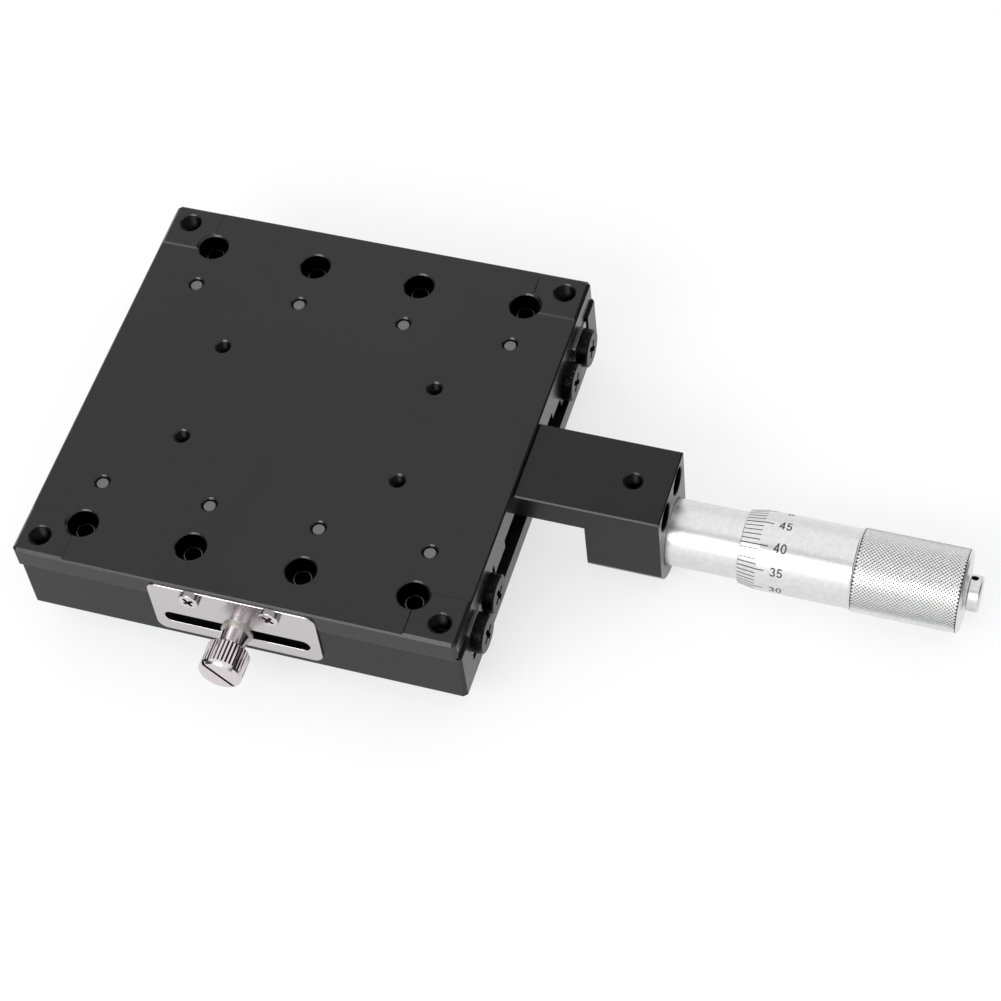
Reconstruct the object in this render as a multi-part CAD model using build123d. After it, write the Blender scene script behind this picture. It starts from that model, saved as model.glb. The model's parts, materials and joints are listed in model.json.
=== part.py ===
from build123d import *
import math
import os

# A crossed roller linear stage with a micrometer drive.
# Millimetres. The origin is the centre of the base's bottom face, +Z is up,
# +X is the direction of travel and points to the micrometer, +Y points to the back.

# Overall sizes
stage_length = 125.0
stage_width = 125.0
travel = 25.0
# where the table stands at rest, against the base's own centre
table_rest_x = -0.86

# Base
floor_thick = 6.0
ledge_step = 0.6
wall_gap = 0.55
base_chamfer = 0.3
base_inset = 0.25
foot_chamfer = 0.4

# Crossed roller rails
rail_plane_y = stage_width / 2 - 19.8
rail_width = 11.1
rail_height = 11.0
rail_short = 1.0
rail_gap = 1.4
rail_chamfer = 0.9
preload_gap = 0.4
roller_dia = 4.0
roller_clear = 0.02
roller_pitch = 7.0
cage_end_room = 2.0
cage_thick = 0.8
cage_height = 9.0

# Table
plate_thick = 6.4
pad_rise = 0.4
pad_slope = 0.5
pad_size = 14.7
edge_chamfer = 0.85
boss_drop = 5.2
boss_wall = 8.8
channel_top_drop = 2.4
rail_top_clear = 0.8
corner_chamfer = 1.0

# Hole pattern of the table
hole_pitch_x = stage_length / 4
access_inset_y = 12.8
access_bore_r = 4.2
access_bore_depth = 4.0
access_hole_r = 2.25
access_chamfer = 0.35
rail_bolt_off = 7.0
corner_hole_inset = 6.0
corner_hole_r = 3.0
tapped_inset_y = 6.1
tapped_r = 2.0

# M4 socket head screws
m4_r = 2.0
m4_clear_r = 2.2
m4_head_r = 3.5
m4_head_h = 4.0
m4_bore_r = 4.0
m4_bore_depth = 4.4
m4_key = 3.0
rail_screw_length = 12.0
tip_below_top = 0.7

# Large pan head screws in the ends of the rails
end_screw_head_r = 5.5
end_screw_head_h = 3.2
end_screw_r = 2.5
end_screw_length = 8.0

# Holes for bolting the base down
mount_inset_x = 6.5
mount_y = 20.0
mount_hole_r = 2.25
mount_bore_r = 4.0
mount_bore_depth = 3.8

# Lock at the front
lock_plate_length = 47.5
lock_plate_height = 20.8
lock_plate_thick = 0.5
lock_plate_edge = 0.12
lock_plate_low = 3.0
lock_corner_r = 3.0
lock_slot_margin = 3.0
lock_slot_width = 4.2
lock_groove_depth = 2.5
lock_groove_extra = 0.6
lock_axis_x = -0.7
lock_axis_z = 9.3
lock_screw_spacing = 22.6
lock_screw_drop = 2.45
m3_r = 1.5
m3_head_r = 2.9
m3_head_h = 1.7
m3_recess = 3.7
washer_r = 4.5
washer_thick = 0.7
thumb_neck_r = 3.7
thumb_neck_length = 5.4
thumb_head_r = 6.0
thumb_head_length = 8.2
thumb_edge = 0.6
thumb_plain_end = 1.4
thumb_ridges = 34
thumb_ridge_depth = 0.35
thumb_slot_width = 1.0
thumb_slot_depth = 1.3
thumb_slot_angle = 48
thumb_clear = 0.04

# Micrometer bracket
bracket_width = 25.0
bracket_drop = 1.35
arm_thick = 8.3
arm_length = 19.3
block_length = 20.85
block_round_r = 13.3
bracket_screw_y = 6.0
bracket_screw_drop = 4.8
bracket_screw_length = 40.0
bracket_bore_depth = 7.4
clamp_screw_r = 2.5
clamp_screw_length = 6.0

# Micrometer head
mic_z = 3.7
barrel_r = 9.25
barrel_show = 20.0
barrel_inside = 40.0
spindle_r = 3.25
spindle_clear = 0.05
thread_r = 4.0
thread_clear = 0.05
nut_r = 7.0
nut_length = 10.0
guide_inside = 3.0
tail_r = 3.0
tip_r = 2.5
thimble_clear = 0.06
thimble_r = 10.9
thimble_front_r = 9.9
thimble_lip = 0.15
thimble_lip_r = 10.05
thimble_bevel = 5.4
thimble_length = 30.55
joint_length = 8.0
joint_wall = 0.7
grip_r = 11.4
grip_length = 29.5
grip_wall = 4.8
grip_chamfer = 0.6
grip_front_chamfer = 0.5
cap_gap = 0.5
cap_neck_r = 3.7
cap_r = 4.9
cap_length = 3.4
cap_hole_r = 1.0
cap_hole_depth = 1.8
cap_hole_share = 0.36
anvil_r = 2.0
anvil_stand = 1.0
anvil_depth = 6.0

# Return springs
spring_inset_y = 8.4
spring_base_inset = 10.5
spring_table_inset = 14.5
spring_r = 2.7
spring_wire_r = 0.35
spring_turns = 26
pin_r = 1.5

# Heights that follow from the sizes above
ledge_z = floor_thick + ledge_step
rail_top_z = ledge_z + rail_height
groove_z = ledge_z + rail_height / 2
skirt_z = rail_top_z + rail_top_clear
wall_top_z = skirt_z - wall_gap
table_top_z = skirt_z + plate_thick
pad_top_z = table_top_z + pad_rise
boss_low_z = skirt_z - boss_drop
channel_z = skirt_z - channel_top_drop
bracket_top_z = table_top_z - bracket_drop
arm_low_z = bracket_top_z - arm_thick
spring_z = (floor_thick + channel_z) / 2

# Widths that follow
half_l = stage_length / 2
half_w = stage_width / 2
base_half_w = half_w - base_inset
lock_slot_length = lock_plate_length - 2 * lock_slot_margin
rail_half_l = (stage_length - rail_short) / 2
inner_rail_in = rail_plane_y - rail_gap / 2 - rail_width
inner_rail_out = rail_plane_y - rail_gap / 2
outer_rail_in = rail_plane_y + rail_gap / 2
outer_rail_out = rail_plane_y + rail_gap / 2 + rail_width
inner_rail_mid = (inner_rail_in + inner_rail_out) / 2
outer_rail_mid = (outer_rail_in + outer_rail_out) / 2
rail_bolt_inner_y = rail_plane_y - rail_bolt_off
rail_bolt_outer_y = rail_plane_y + rail_bolt_off
boss_inner_y = inner_rail_in - boss_wall
access_y = half_w - access_inset_y
tapped_y = boss_inner_y - tapped_inset_y
spring_y = boss_inner_y - spring_inset_y
ledge_in = rail_plane_y + 0.2
hole_xs = [(i - 1.5) * hole_pitch_x for i in range(4)]
spring_base_x = -half_l + spring_base_inset
spring_table_x = half_l - spring_table_inset
cage_room = stage_length - rail_short - travel / 2 - 2 * cage_end_room
roller_count = int(cage_room / roller_pitch)
corner_x = half_l - corner_hole_inset
corner_y = half_w - corner_hole_inset

# Lengths along the drive, as they stand at rest
travel_plus = travel / 2 - table_rest_x
table_end_x = half_l + table_rest_x
block_in_x = table_end_x + arm_length
block_out_x = block_in_x + block_length
anvil_x = half_l + anvil_stand
thimble_x = block_out_x + barrel_show
grip_x = thimble_x + thimble_length
grip_end_x = grip_x + grip_length
cavity_end_x = grip_end_x - grip_wall
barrel_end_x = thimble_x + barrel_inside
guide_end_x = thimble_x + guide_inside
thread_start_x = guide_end_x + travel_plus + 0.9
cap_x = grip_end_x + cap_gap
cap_end_x = cap_x + cap_length

os.makedirs("parts", exist_ok=True)


def box(x0, x1, y0, y1, z0, z1):
    return Pos((x0 + x1) / 2, (y0 + y1) / 2, (z0 + z1) / 2) * Box(x1 - x0, y1 - y0, z1 - z0)


def rod_x(x0, x1, y, z, r):
    return Pos((x0 + x1) / 2, y, z) * Rot(0, 90, 0) * Cylinder(r, x1 - x0)


def rod_y(x, y0, y1, z, r):
    return Pos(x, (y0 + y1) / 2, z) * Rot(90, 0, 0) * Cylinder(r, y1 - y0)


def rod_z(x, y, z0, z1, r):
    return Pos(x, y, (z0 + z1) / 2) * Cylinder(r, z1 - z0)


def cone_z(x, y, z0, z1, r0, r1):
    return Pos(x, y, (z0 + z1) / 2) * Cone(r0, r1, z1 - z0)


def mouth_z(x, y, z, r, size):
    """A 45 degree chamfer for the mouth of a hole that opens upward at height z."""
    return cone_z(x, y, z - size, z + 0.1, r, r + size + 0.1)


def cone_x(x0, x1, y, z, r0, r1):
    return Pos((x0 + x1) / 2, y, z) * Rot(0, 90, 0) * Cone(r0, r1, x1 - x0)


def along_x(points, x0, x1):
    """A prism whose outline is given as (y, z) points and which runs from x0 to x1."""
    with BuildPart() as p:
        with BuildSketch(Plane.YZ.offset(x0)):
            with BuildLine():
                Polyline(*points, close=True)
            make_face()
        extrude(amount=x1 - x0)
    return p.part


def save(node, shapes):
    """Writes one node. A list is a group of identical pieces, each its own solid."""
    if not isinstance(shapes, (list, tuple)):
        shapes = [shapes]
    solids = []
    for s in shapes:
        solids.extend(s.solids())
    shape = solids[0] if len(solids) == 1 else Compound(children=solids)
    shape.label = node
    export_step(shape, f"parts/{node}.step")
    print(node, len(solids), round(sum(s.volume for s in solids), 1))


def on_table(shape):
    """Moves a piece drawn about the table's own centre to where the table rests."""
    return Pos(table_rest_x, 0, 0) * shape


def cross_recess(depth, size, width):
    """A cross shaped driver recess that opens at z = 0 and goes down, narrowing to a point."""
    arms = Box(size, width, 2 * depth) + Box(width, size, 2 * depth)
    point = Pos(0, 0, -depth / 2) * Cone(width * 0.35, size * 0.5, depth)
    return arms & point


def hex_socket(key, depth):
    """A hexagon socket that opens at z = 0 and goes down."""
    with BuildPart() as p:
        with BuildSketch(Plane.XY.offset(-depth)):
            RegularPolygon(key / math.sqrt(3), 6)
        extrude(amount=2 * depth)
    return p.part


def socket_screw(length, head_r, head_h, shank_r, key):
    """A socket head screw, head upward, with the underside of the head at z = 0."""
    head = Pos(0, 0, head_h / 2) * Cylinder(head_r, head_h)
    head = chamfer(head.edges().group_by(Axis.Z)[-1], 0.35)
    head = head - Pos(0, 0, head_h) * hex_socket(key, head_h * 0.55)
    shank = Pos(0, 0, -length / 2) * Cylinder(shank_r, length)
    shank = chamfer(shank.edges().group_by(Axis.Z)[0], 0.4)
    return head + shank


def pan_screw(length, head_r, head_h, shank_r, recess, edge):
    """A pan head screw with a cross recess, head upward, underside of the head at z = 0."""
    head = Pos(0, 0, head_h / 2) * Cylinder(head_r, head_h)
    head = fillet(head.edges().group_by(Axis.Z)[-1], edge)
    head = head - Pos(0, 0, head_h) * cross_recess(head_h * 0.75, recess, recess * 0.26)
    shank = Pos(0, 0, -length / 2) * Cylinder(shank_r, length)
    shank = chamfer(shank.edges().group_by(Axis.Z)[0], shank_r * 0.2)
    return head + shank


def set_screw(length, r, key):
    """A set screw with its socket upward, from z = 0 to z = length."""
    s = Pos(0, 0, length / 2) * Cylinder(r, length)
    s = chamfer(s.edges().group_by(Axis.Z)[0], 0.4)
    return s - Pos(0, 0, length) * hex_socket(key, length * 0.45)


# Base
# The base is a plate with a wall along the front and the back. Its floor is
# stepped, so that the outer rails stand on ledges and the inner rails pass over it.
base = box(-half_l, half_l, -base_half_w, base_half_w, 0, wall_top_z)
base = chamfer(base.edges().filter_by(Axis.Z), corner_chamfer)
base = chamfer(base.faces().sort_by(Axis.Z)[0].edges(), foot_chamfer)
long_top = base.faces().sort_by(Axis.Z)[-1].edges().filter_by(Axis.X)
base = chamfer(long_top, base_chamfer)
base -= box(-half_l - 1, half_l + 1, -outer_rail_out, outer_rail_out + preload_gap, ledge_z, skirt_z)
base -= box(-half_l - 1, half_l + 1, -ledge_in, ledge_in, floor_thick, ledge_z + 1)
rail_seat_z = rail_top_z - m4_bore_depth
rail_hole_low = rail_seat_z - rail_screw_length - 0.4
for x in hole_xs:
    for s in (-1, 1):
        base -= rod_z(x, s * rail_bolt_outer_y, rail_hole_low, ledge_z + 1, m4_r)
mount_x = half_l - mount_inset_x
for sx in (-1, 1):
    for sy in (-1, 1):
        base -= rod_z(sx * mount_x, sy * mount_y, -1, floor_thick + 1, mount_hole_r)
        mount_seat_z = floor_thick - mount_bore_depth
        base -= rod_z(sx * mount_x, sy * mount_y, mount_seat_z, floor_thick + 1, mount_bore_r)
base -= rod_y(lock_axis_x, -half_w - 1, -outer_rail_out + 0.5, lock_axis_z, m4_r)
groove_width = lock_slot_width + lock_groove_extra
with BuildPart() as lock_groove:
    with BuildSketch(Plane.XZ.offset(base_half_w - lock_groove_depth)):
        with Locations((lock_axis_x, lock_axis_z)):
            SlotOverall(lock_slot_length + lock_groove_extra, groove_width)
    extrude(amount=lock_groove_depth + 1)
base -= lock_groove.part
preload_xs = [-0.32 * stage_length, 0.0, 0.32 * stage_length]
for x in preload_xs:
    base -= rod_y(x, outer_rail_out, half_w + 1, groove_z, m4_r)
base -= rod_x(half_l - anvil_depth, half_l + 1, 0, mic_z, anvil_r)
pin_depth = floor_thick * 0.6
for s in (-1, 1):
    base -= rod_z(spring_base_x, s * spring_y, floor_thick - pin_depth, floor_thick + 1, pin_r)
save("base_plate", base)

# Rails
# The groove is a right-angled V. Two facing grooves make a square channel on
# its corner, and the rollers lie in it crosswise, every other one turned.
channel_half = (roller_dia / 2 + roller_clear) * math.sqrt(2)
groove_open = channel_half - rail_gap / 2


def rail(y_face, outward, x0, x1, z0, bolt_y, head_up):
    """One rail. y_face is its grooved face, outward is the way its back lies."""
    y_back = y_face + outward * rail_width
    z1 = z0 + rail_height
    c = rail_chamfer
    o = outward
    lip = 0.3
    points = [
        (y_face + o * lip, z0), (y_back - o * c, z0), (y_back, z0 + c), (y_back, z1 - c),
        (y_back - o * c, z1), (y_face + o * lip, z1), (y_face, z1 - lip),
        (y_face, groove_z + groove_open), (y_face + o * groove_open, groove_z),
        (y_face, groove_z - groove_open), (y_face, z0 + lip),
    ]
    r = along_x(points, x0, x1)
    mid_x = (x0 + x1) / 2
    for x in hole_xs:
        r -= rod_z(mid_x + x, bolt_y, z0 - 1, z1 + 1, m4_clear_r)
        if head_up:
            r -= rod_z(mid_x + x, bolt_y, z1 - m4_bore_depth, z1 + 1, m4_bore_r)
        else:
            r -= rod_z(mid_x + x, bolt_y, z0 - 1, z0 + m4_bore_depth, m4_bore_r)
    y_mid = y_face + o * rail_width / 2
    r -= rod_x(x1 - end_screw_length - 0.5, x1 + 1, y_mid, groove_z, end_screw_r)
    r -= rod_x(x0 - 1, x0 + end_screw_length + 0.5, y_mid, groove_z, end_screw_r)
    return r


for name, s in (("front", -1), ("back", 1)):
    outer = rail(s * outer_rail_in, s, -rail_half_l, rail_half_l, ledge_z, s * rail_bolt_outer_y, True)
    save("outer_rail_" + name, outer)
    inner = rail(s * inner_rail_out, -s, -rail_half_l, rail_half_l, ledge_z, s * rail_bolt_inner_y, False)
    save("inner_rail_" + name, on_table(inner))

# Screws that hold the rails
rail_screw = socket_screw(rail_screw_length, m4_head_r, m4_head_h, m4_r, m4_key)
outer_screws = []
for x in hole_xs:
    for s in (-1, 1):
        outer_screws.append(Pos(x, s * rail_bolt_outer_y, rail_seat_z) * rail_screw)
save("outer_rail_screws", outer_screws)
inner_seat_z = ledge_z + m4_bore_depth
inner_screw_length = table_top_z - tip_below_top - inner_seat_z
inner_screw = socket_screw(inner_screw_length, m4_head_r, m4_head_h, m4_r, m4_key)
inner_screws = []
for x in hole_xs:
    for s in (-1, 1):
        seat = Pos(x, s * rail_bolt_inner_y, inner_seat_z) * Rot(180, 0, 0)
        inner_screws.append(on_table(seat * inner_screw))
save("inner_rail_screws", inner_screws)

# Large screws in the rail ends, which keep the cages in
end_screw = pan_screw(end_screw_length, end_screw_head_r, end_screw_head_h, end_screw_r, 5.6, 0.6)


def end_screws(y):
    turned = []
    for k, s in enumerate((-1, 1)):
        right_end = Pos(rail_half_l, s * y, groove_z) * Rot(0, 90, 0)
        left_end = Pos(-rail_half_l, s * y, groove_z) * Rot(0, -90, 0)
        turned.append(right_end * Rot(0, 0, 20 + 25 * k) * end_screw)
        turned.append(left_end * Rot(0, 0, 50 - 35 * k) * end_screw)
    return turned


save("base_end_screws", end_screws(outer_rail_mid))
save("table_end_screws", [on_table(s) for s in end_screws(inner_rail_mid)])

# Cages and rollers
cage_half = (roller_count - 1) * roller_pitch / 2 + roller_pitch / 2
cage_rest_x = table_rest_x / 2
window = roller_dia + 0.1
roller_length = roller_dia - 0.1
for name, s in (("front", -1), ("back", 1)):
    y = s * rail_plane_y
    strip = Box(2 * cage_half, cage_thick, cage_height)
    cage = Pos(0, y, groove_z) * strip
    rollers = []
    for i in range(roller_count):
        x = (i - (roller_count - 1) / 2) * roller_pitch
        tilt = 45 if i % 2 == 0 else -45
        seat = Pos(x, y, groove_z) * Rot(tilt, 0, 0)
        cage -= seat * Box(window, window, window)
        one = chamfer(Cylinder(roller_dia / 2, roller_length).edges().filter_by(GeomType.CIRCLE), 0.2)
        rollers.append(Pos(cage_rest_x, 0, 0) * seat * one)
    save("cage_" + name, Pos(cage_rest_x, 0, 0) * cage)
    save("rollers_" + name, rollers)

# Preload screws in the back wall, which press on the outer rail
preload = set_screw(6.0, m4_r, 2.0)
save("preload_screws", [Pos(x, outer_rail_out, groove_z) * Rot(-90, 0, 0) * preload for x in preload_xs])

# Table
# A plate with raised pads in its corners. Below it a channel shaped boss runs
# the whole length, and the inner rails are bolted against its sides.
table = box(-half_l, half_l, -half_w, half_w, skirt_z, pad_top_z)
table = chamfer(table.edges().filter_by(Axis.Z), corner_chamfer)
table = chamfer(table.faces().sort_by(Axis.Z)[-1].edges(), edge_chamfer)
relief = box(-half_l - 1, half_l + 1, -half_w - 1, half_w + 1, table_top_z, pad_top_z + 1)
pad_x = half_l - pad_size
pad_y = half_w - pad_size
pad_span = pad_size + 2.0
pad_block = Box(pad_span, pad_span, 2 * pad_rise)
pad_block = chamfer(pad_block.faces().sort_by(Axis.Z)[-1].edges(), pad_rise, pad_slope)
pad_mid_x = pad_x + pad_span / 2
pad_mid_y = pad_y + pad_span / 2
for sx in (-1, 1):
    for sy in (-1, 1):
        relief -= Pos(sx * pad_mid_x, sy * pad_mid_y, table_top_z) * pad_block
table -= relief
table += box(-half_l, half_l, -inner_rail_in, inner_rail_in, boss_low_z, skirt_z)
table += box(-half_l, half_l, -inner_rail_out - 0.3, -inner_rail_in, rail_top_z, skirt_z)
table += box(-half_l, half_l, inner_rail_in, inner_rail_out + 0.3, rail_top_z, skirt_z)
table -= box(-half_l - 1, half_l + 1, -boss_inner_y, boss_inner_y, boss_low_z - 1, channel_z)
for x in hole_xs:
    for s in (-1, 1):
        table -= rod_z(x, s * access_y, skirt_z - 1, table_top_z + 1, access_hole_r)
        table -= rod_z(x, s * access_y, table_top_z - access_bore_depth, table_top_z + 1, access_bore_r)
        table -= mouth_z(x, s * access_y, pad_top_z, access_bore_r, access_chamfer + pad_rise)
        table -= rod_z(x, s * rail_bolt_inner_y, rail_top_z - 1, table_top_z + 1, m4_r)
        table -= mouth_z(x, s * rail_bolt_inner_y, table_top_z, m4_r, 0.4)
for sx in (-1, 1):
    for sy in (-1, 1):
        table -= rod_z(sx * corner_x, sy * corner_y, skirt_z - 1, pad_top_z + 1, corner_hole_r)
        table -= mouth_z(sx * corner_x, sy * corner_y, pad_top_z, corner_hole_r, 0.3)
        table -= rod_z(sx * hole_pitch_x, sy * tapped_y, channel_z - 1, table_top_z + 1, tapped_r)
        table -= mouth_z(sx * hole_pitch_x, sy * tapped_y, table_top_z, tapped_r, 0.4)
bracket_screw_z = bracket_top_z - bracket_screw_drop
bracket_seat_x = arm_length + block_length - bracket_bore_depth
bracket_screw_in = bracket_screw_length - bracket_seat_x
for s in (-1, 1):
    table -= rod_x(half_l - bracket_screw_in - 1, half_l + 1, s * bracket_screw_y, bracket_screw_z, m4_r)
lock_screw_z = lock_plate_low + lock_plate_height - lock_screw_drop
lock_xs = [-lock_screw_spacing / 2, lock_screw_spacing / 2]
for x in lock_xs:
    table -= rod_y(x, -half_w - 1, -half_w + 6, lock_screw_z, m3_r)
table_pin_in = 3.5
for s in (-1, 1):
    table -= rod_z(spring_table_x, s * spring_y, channel_z - 1, channel_z + table_pin_in, pin_r)
save("table_plate", on_table(table))

# Bracket
# An arm that is bolted to the table's end, and a block that clamps the barrel.
# The block's lower end is round about the micrometer's axis.
half_b = bracket_width / 2
bx0 = half_l
bx1 = half_l + arm_length
bx2 = bx1 + block_length
bracket = box(bx0, bx2, -half_b, half_b, arm_low_z, bracket_top_z)
bracket += box(bx1, bx2, -half_b, half_b, mic_z, arm_low_z)
lower = box(bx1, bx2, -half_b, half_b, mic_z - block_round_r, mic_z)
bracket += lower & rod_x(bx1, bx2, 0, mic_z, block_round_r)
bracket = chamfer(bracket.faces().sort_by(Axis.Z)[-1].edges(), 0.35)
bracket -= rod_x(bx1 - 1, bx2 + 1, 0, mic_z, barrel_r)
bracket -= cone_x(bx2 - 0.5, bx2 + 0.1, 0, mic_z, barrel_r, barrel_r + 0.6)
clamp_x = (bx1 + bx2) / 2
bracket -= rod_z(clamp_x, 0, mic_z + barrel_r - 1, bracket_top_z + 1, clamp_screw_r)
bracket -= mouth_z(clamp_x, 0, bracket_top_z, clamp_screw_r, 0.35)
for s in (-1, 1):
    bracket -= rod_x(bx0 - 1, bx2 + 1, s * bracket_screw_y, bracket_screw_z, m4_clear_r)
    bracket -= rod_x(bx2 - bracket_bore_depth, bx2 + 1, s * bracket_screw_y, bracket_screw_z, m4_bore_r)
    bracket -= cone_x(bx2 - 0.3, bx2 + 0.1, s * bracket_screw_y, bracket_screw_z, m4_bore_r, m4_bore_r + 0.4)
save("bracket", on_table(bracket))
long_screw = socket_screw(bracket_screw_length, m4_head_r, m4_head_h, m4_r, m4_key)
long_screws = []
for s in (-1, 1):
    seat = Pos(bx2 - bracket_bore_depth, s * bracket_screw_y, bracket_screw_z) * Rot(0, 90, 0)
    long_screws.append(on_table(seat * Rot(0, 0, 12 * s) * long_screw))
save("bracket_screws", long_screws)
clamp_screw = Pos(clamp_x, 0, mic_z + barrel_r) * set_screw(clamp_screw_length, clamp_screw_r, 2.5)
save("clamp_screw", on_table(clamp_screw))

# Lock plate, its screws, and the thumb screw
plate_mid_z = lock_plate_low + lock_plate_height / 2
with BuildPart() as lp:
    with BuildSketch(Plane.XZ.offset(half_w)):
        with Locations((0, plate_mid_z)):
            RectangleRounded(lock_plate_length, lock_plate_height, lock_corner_r)
        with Locations((0, lock_axis_z)):
            SlotOverall(lock_slot_length, lock_slot_width, mode=Mode.SUBTRACT)
        with Locations(*[(x, lock_screw_z) for x in lock_xs]):
            Circle(m3_r + 0.15, mode=Mode.SUBTRACT)
    extrude(amount=lock_plate_thick)
lock_plate = chamfer(lp.part.faces().sort_by(Axis.Y)[0].edges(), lock_plate_edge)
save("lock_plate", on_table(lock_plate))
m3_screw = pan_screw(6.0, m3_head_r, m3_head_h, m3_r, m3_recess, 0.55)
m3_screws = []
for k, x in enumerate(lock_xs):
    seat = Pos(x, -half_w - lock_plate_thick, lock_screw_z) * Rot(90, 0, 0)
    m3_screws.append(on_table(seat * Rot(0, 0, 35 + 20 * k) * m3_screw))
save("lock_plate_screws", m3_screws)
washer_y = -half_w - lock_plate_thick
washer = rod_y(lock_axis_x, washer_y - washer_thick, washer_y, lock_axis_z, washer_r)
washer -= rod_y(lock_axis_x, washer_y - washer_thick - 1, washer_y + 1, lock_axis_z, m4_r + 0.05)
save("lock_washer", washer)
neck_y = washer_y - washer_thick
head_y = neck_y - thumb_neck_length
end_y = head_y - thumb_head_length
thumb_tip_y = -outer_rail_out - 1.2
thumb = rod_y(lock_axis_x, neck_y, thumb_tip_y, lock_axis_z, m4_r - thumb_clear)
thumb += rod_y(lock_axis_x, head_y, neck_y, lock_axis_z, thumb_neck_r)


def straight_knurl(r_top, r_low, ridges, y0, y1):
    """Ridges along Y round the lock's axis, each with a flat top and sloping sides."""
    outline = []
    for i in range(ridges):
        for share, r in ((-0.22, r_top), (0.22, r_top), (0.42, r_low), (0.58, r_low)):
            a = 2 * math.pi * (i + share) / ridges
            outline.append((lock_axis_x + r * math.cos(a), lock_axis_z + r * math.sin(a)))
    with BuildPart() as p:
        with BuildSketch(Plane.XZ.offset(-y1)):
            with BuildLine():
                Polyline(*outline, close=True)
            make_face()
        extrude(amount=y1 - y0)
    return p.part


head = rod_y(lock_axis_x, end_y, head_y, lock_axis_z, thumb_head_r)
head = chamfer(head.edges().filter_by(GeomType.CIRCLE), thumb_edge)
rim_y = end_y + thumb_plain_end
ribbed = straight_knurl(thumb_head_r, thumb_head_r - thumb_ridge_depth, thumb_ridges, rim_y, head_y)
smooth = rod_y(lock_axis_x, end_y, rim_y, lock_axis_z, thumb_head_r)
thumb += head & (ribbed + smooth)
slot_box = Box(4 * thumb_head_r, 2 * thumb_slot_depth, thumb_slot_width)
thumb -= Pos(lock_axis_x, end_y, lock_axis_z) * Rot(0, thumb_slot_angle, 0) * slot_box
save("thumb_screw", thumb)

# Anvil, pins and return springs
anvil = rod_x(half_l - anvil_depth, anvil_x, 0, mic_z, anvil_r)
save("anvil", chamfer(anvil.edges().group_by(Axis.X)[-1], 0.3))
pin_over = 2.0
base_pins = []
table_pins = []
for s in (-1, 1):
    base_pins.append(rod_z(spring_base_x, s * spring_y, floor_thick - pin_depth, spring_z + pin_over, pin_r))
    table_pin = rod_z(spring_table_x, s * spring_y, spring_z - pin_over, channel_z + table_pin_in, pin_r)
    table_pins.append(on_table(table_pin))
save("base_spring_pins", base_pins)
save("table_spring_pins", table_pins)

eye_r = pin_r + spring_wire_r + 0.03


def spring(y):
    """A pulled coil with an eye at each end, round the base's pin and the table's pin."""
    x0 = spring_base_x
    x1 = spring_table_x + table_rest_x
    a = x0 + eye_r + 1.2
    b = x1 - eye_r - 1.2
    length = b - a
    coil = Helix(pitch=length / spring_turns, height=length, radius=spring_r)
    start = coil @ 0
    with BuildPart() as p:
        with BuildSketch(Plane(origin=start, z_dir=coil % 0)):
            Circle(spring_wire_r)
        sweep(path=coil, is_frenet=True)
    body = Pos(a, y, spring_z) * Rot(0, 90, 0) * p.part
    eye0 = Pos(x0, y, spring_z) * Torus(eye_r, spring_wire_r)
    eye1 = Pos(x1, y, spring_z) * Torus(eye_r, spring_wire_r)
    w = spring_wire_r
    neck0 = rod_x(x0 + eye_r - 0.1, a, y, spring_z, w)
    neck1 = rod_x(b, x1 - eye_r + 0.1, y, spring_z, w)
    arm0 = Pos(a, y, spring_z - spring_r / 2) * Cylinder(w, spring_r)
    arm1 = Pos(b, y, spring_z - spring_r / 2) * Cylinder(w, spring_r)
    ball0 = Pos(a, y, spring_z) * Sphere(w)
    ball1 = Pos(b, y, spring_z) * Sphere(w)
    knee0 = Pos(a, y, spring_z - spring_r) * Sphere(w * 1.02)
    knee1 = Pos(b, y, spring_z - spring_r) * Sphere(w * 1.02)
    return body + eye0 + eye1 + neck0 + neck1 + arm0 + arm1 + ball0 + ball1 + knee0 + knee1


save("spring_front", spring(-spring_y))
save("spring_back", spring(spring_y))

# Micrometer head
# The barrel is clamped in the bracket and moves with the table. The spindle
# turns in it and stands against the anvil, so the thimble keeps its place on the
# base's side while the barrel slides into it.
barrel = rod_x(block_in_x, barrel_end_x, 0, mic_z, barrel_r)
barrel = chamfer(barrel.edges().group_by(Axis.X)[0], 0.4)
barrel -= rod_x(block_in_x - 1, barrel_end_x + 1, 0, mic_z, spindle_r + spindle_clear)
barrel -= rod_x(guide_end_x, barrel_end_x + 1, 0, mic_z, nut_r)
save("micrometer_barrel", barrel)
nut = rod_x(barrel_end_x - nut_length, barrel_end_x, 0, mic_z, nut_r)
nut -= rod_x(barrel_end_x - nut_length - 1, barrel_end_x + 1, 0, mic_z, thread_r + thread_clear)
save("micrometer_nut", nut)
spindle = rod_x(anvil_x + 1.5, thread_start_x, 0, mic_z, spindle_r)
spindle += cone_x(anvil_x, anvil_x + 1.5, 0, mic_z, tip_r, spindle_r)
spindle += rod_x(thread_start_x, cavity_end_x, 0, mic_z, thread_r)
spindle += rod_x(cavity_end_x, cap_end_x - 1.6, 0, mic_z, tail_r)
save("spindle", spindle)
sleeve = rod_x(thimble_x + thimble_bevel, grip_x, 0, mic_z, thimble_r)
sleeve += cone_x(thimble_x, thimble_x + thimble_lip, 0, mic_z, thimble_front_r, thimble_lip_r)
sleeve += cone_x(thimble_x + thimble_lip, thimble_x + thimble_bevel, 0, mic_z, thimble_lip_r, thimble_r)
sleeve += rod_x(grip_x, grip_x + joint_length, 0, mic_z, thimble_r - joint_wall)
sleeve -= rod_x(thimble_x - 1, grip_x + joint_length + 1, 0, mic_z, barrel_r + thimble_clear)
save("thimble_sleeve", sleeve)
grip = rod_x(grip_x, grip_end_x, 0, mic_z, grip_r)
grip = chamfer(grip.edges().group_by(Axis.X)[-1], grip_chamfer)
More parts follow.
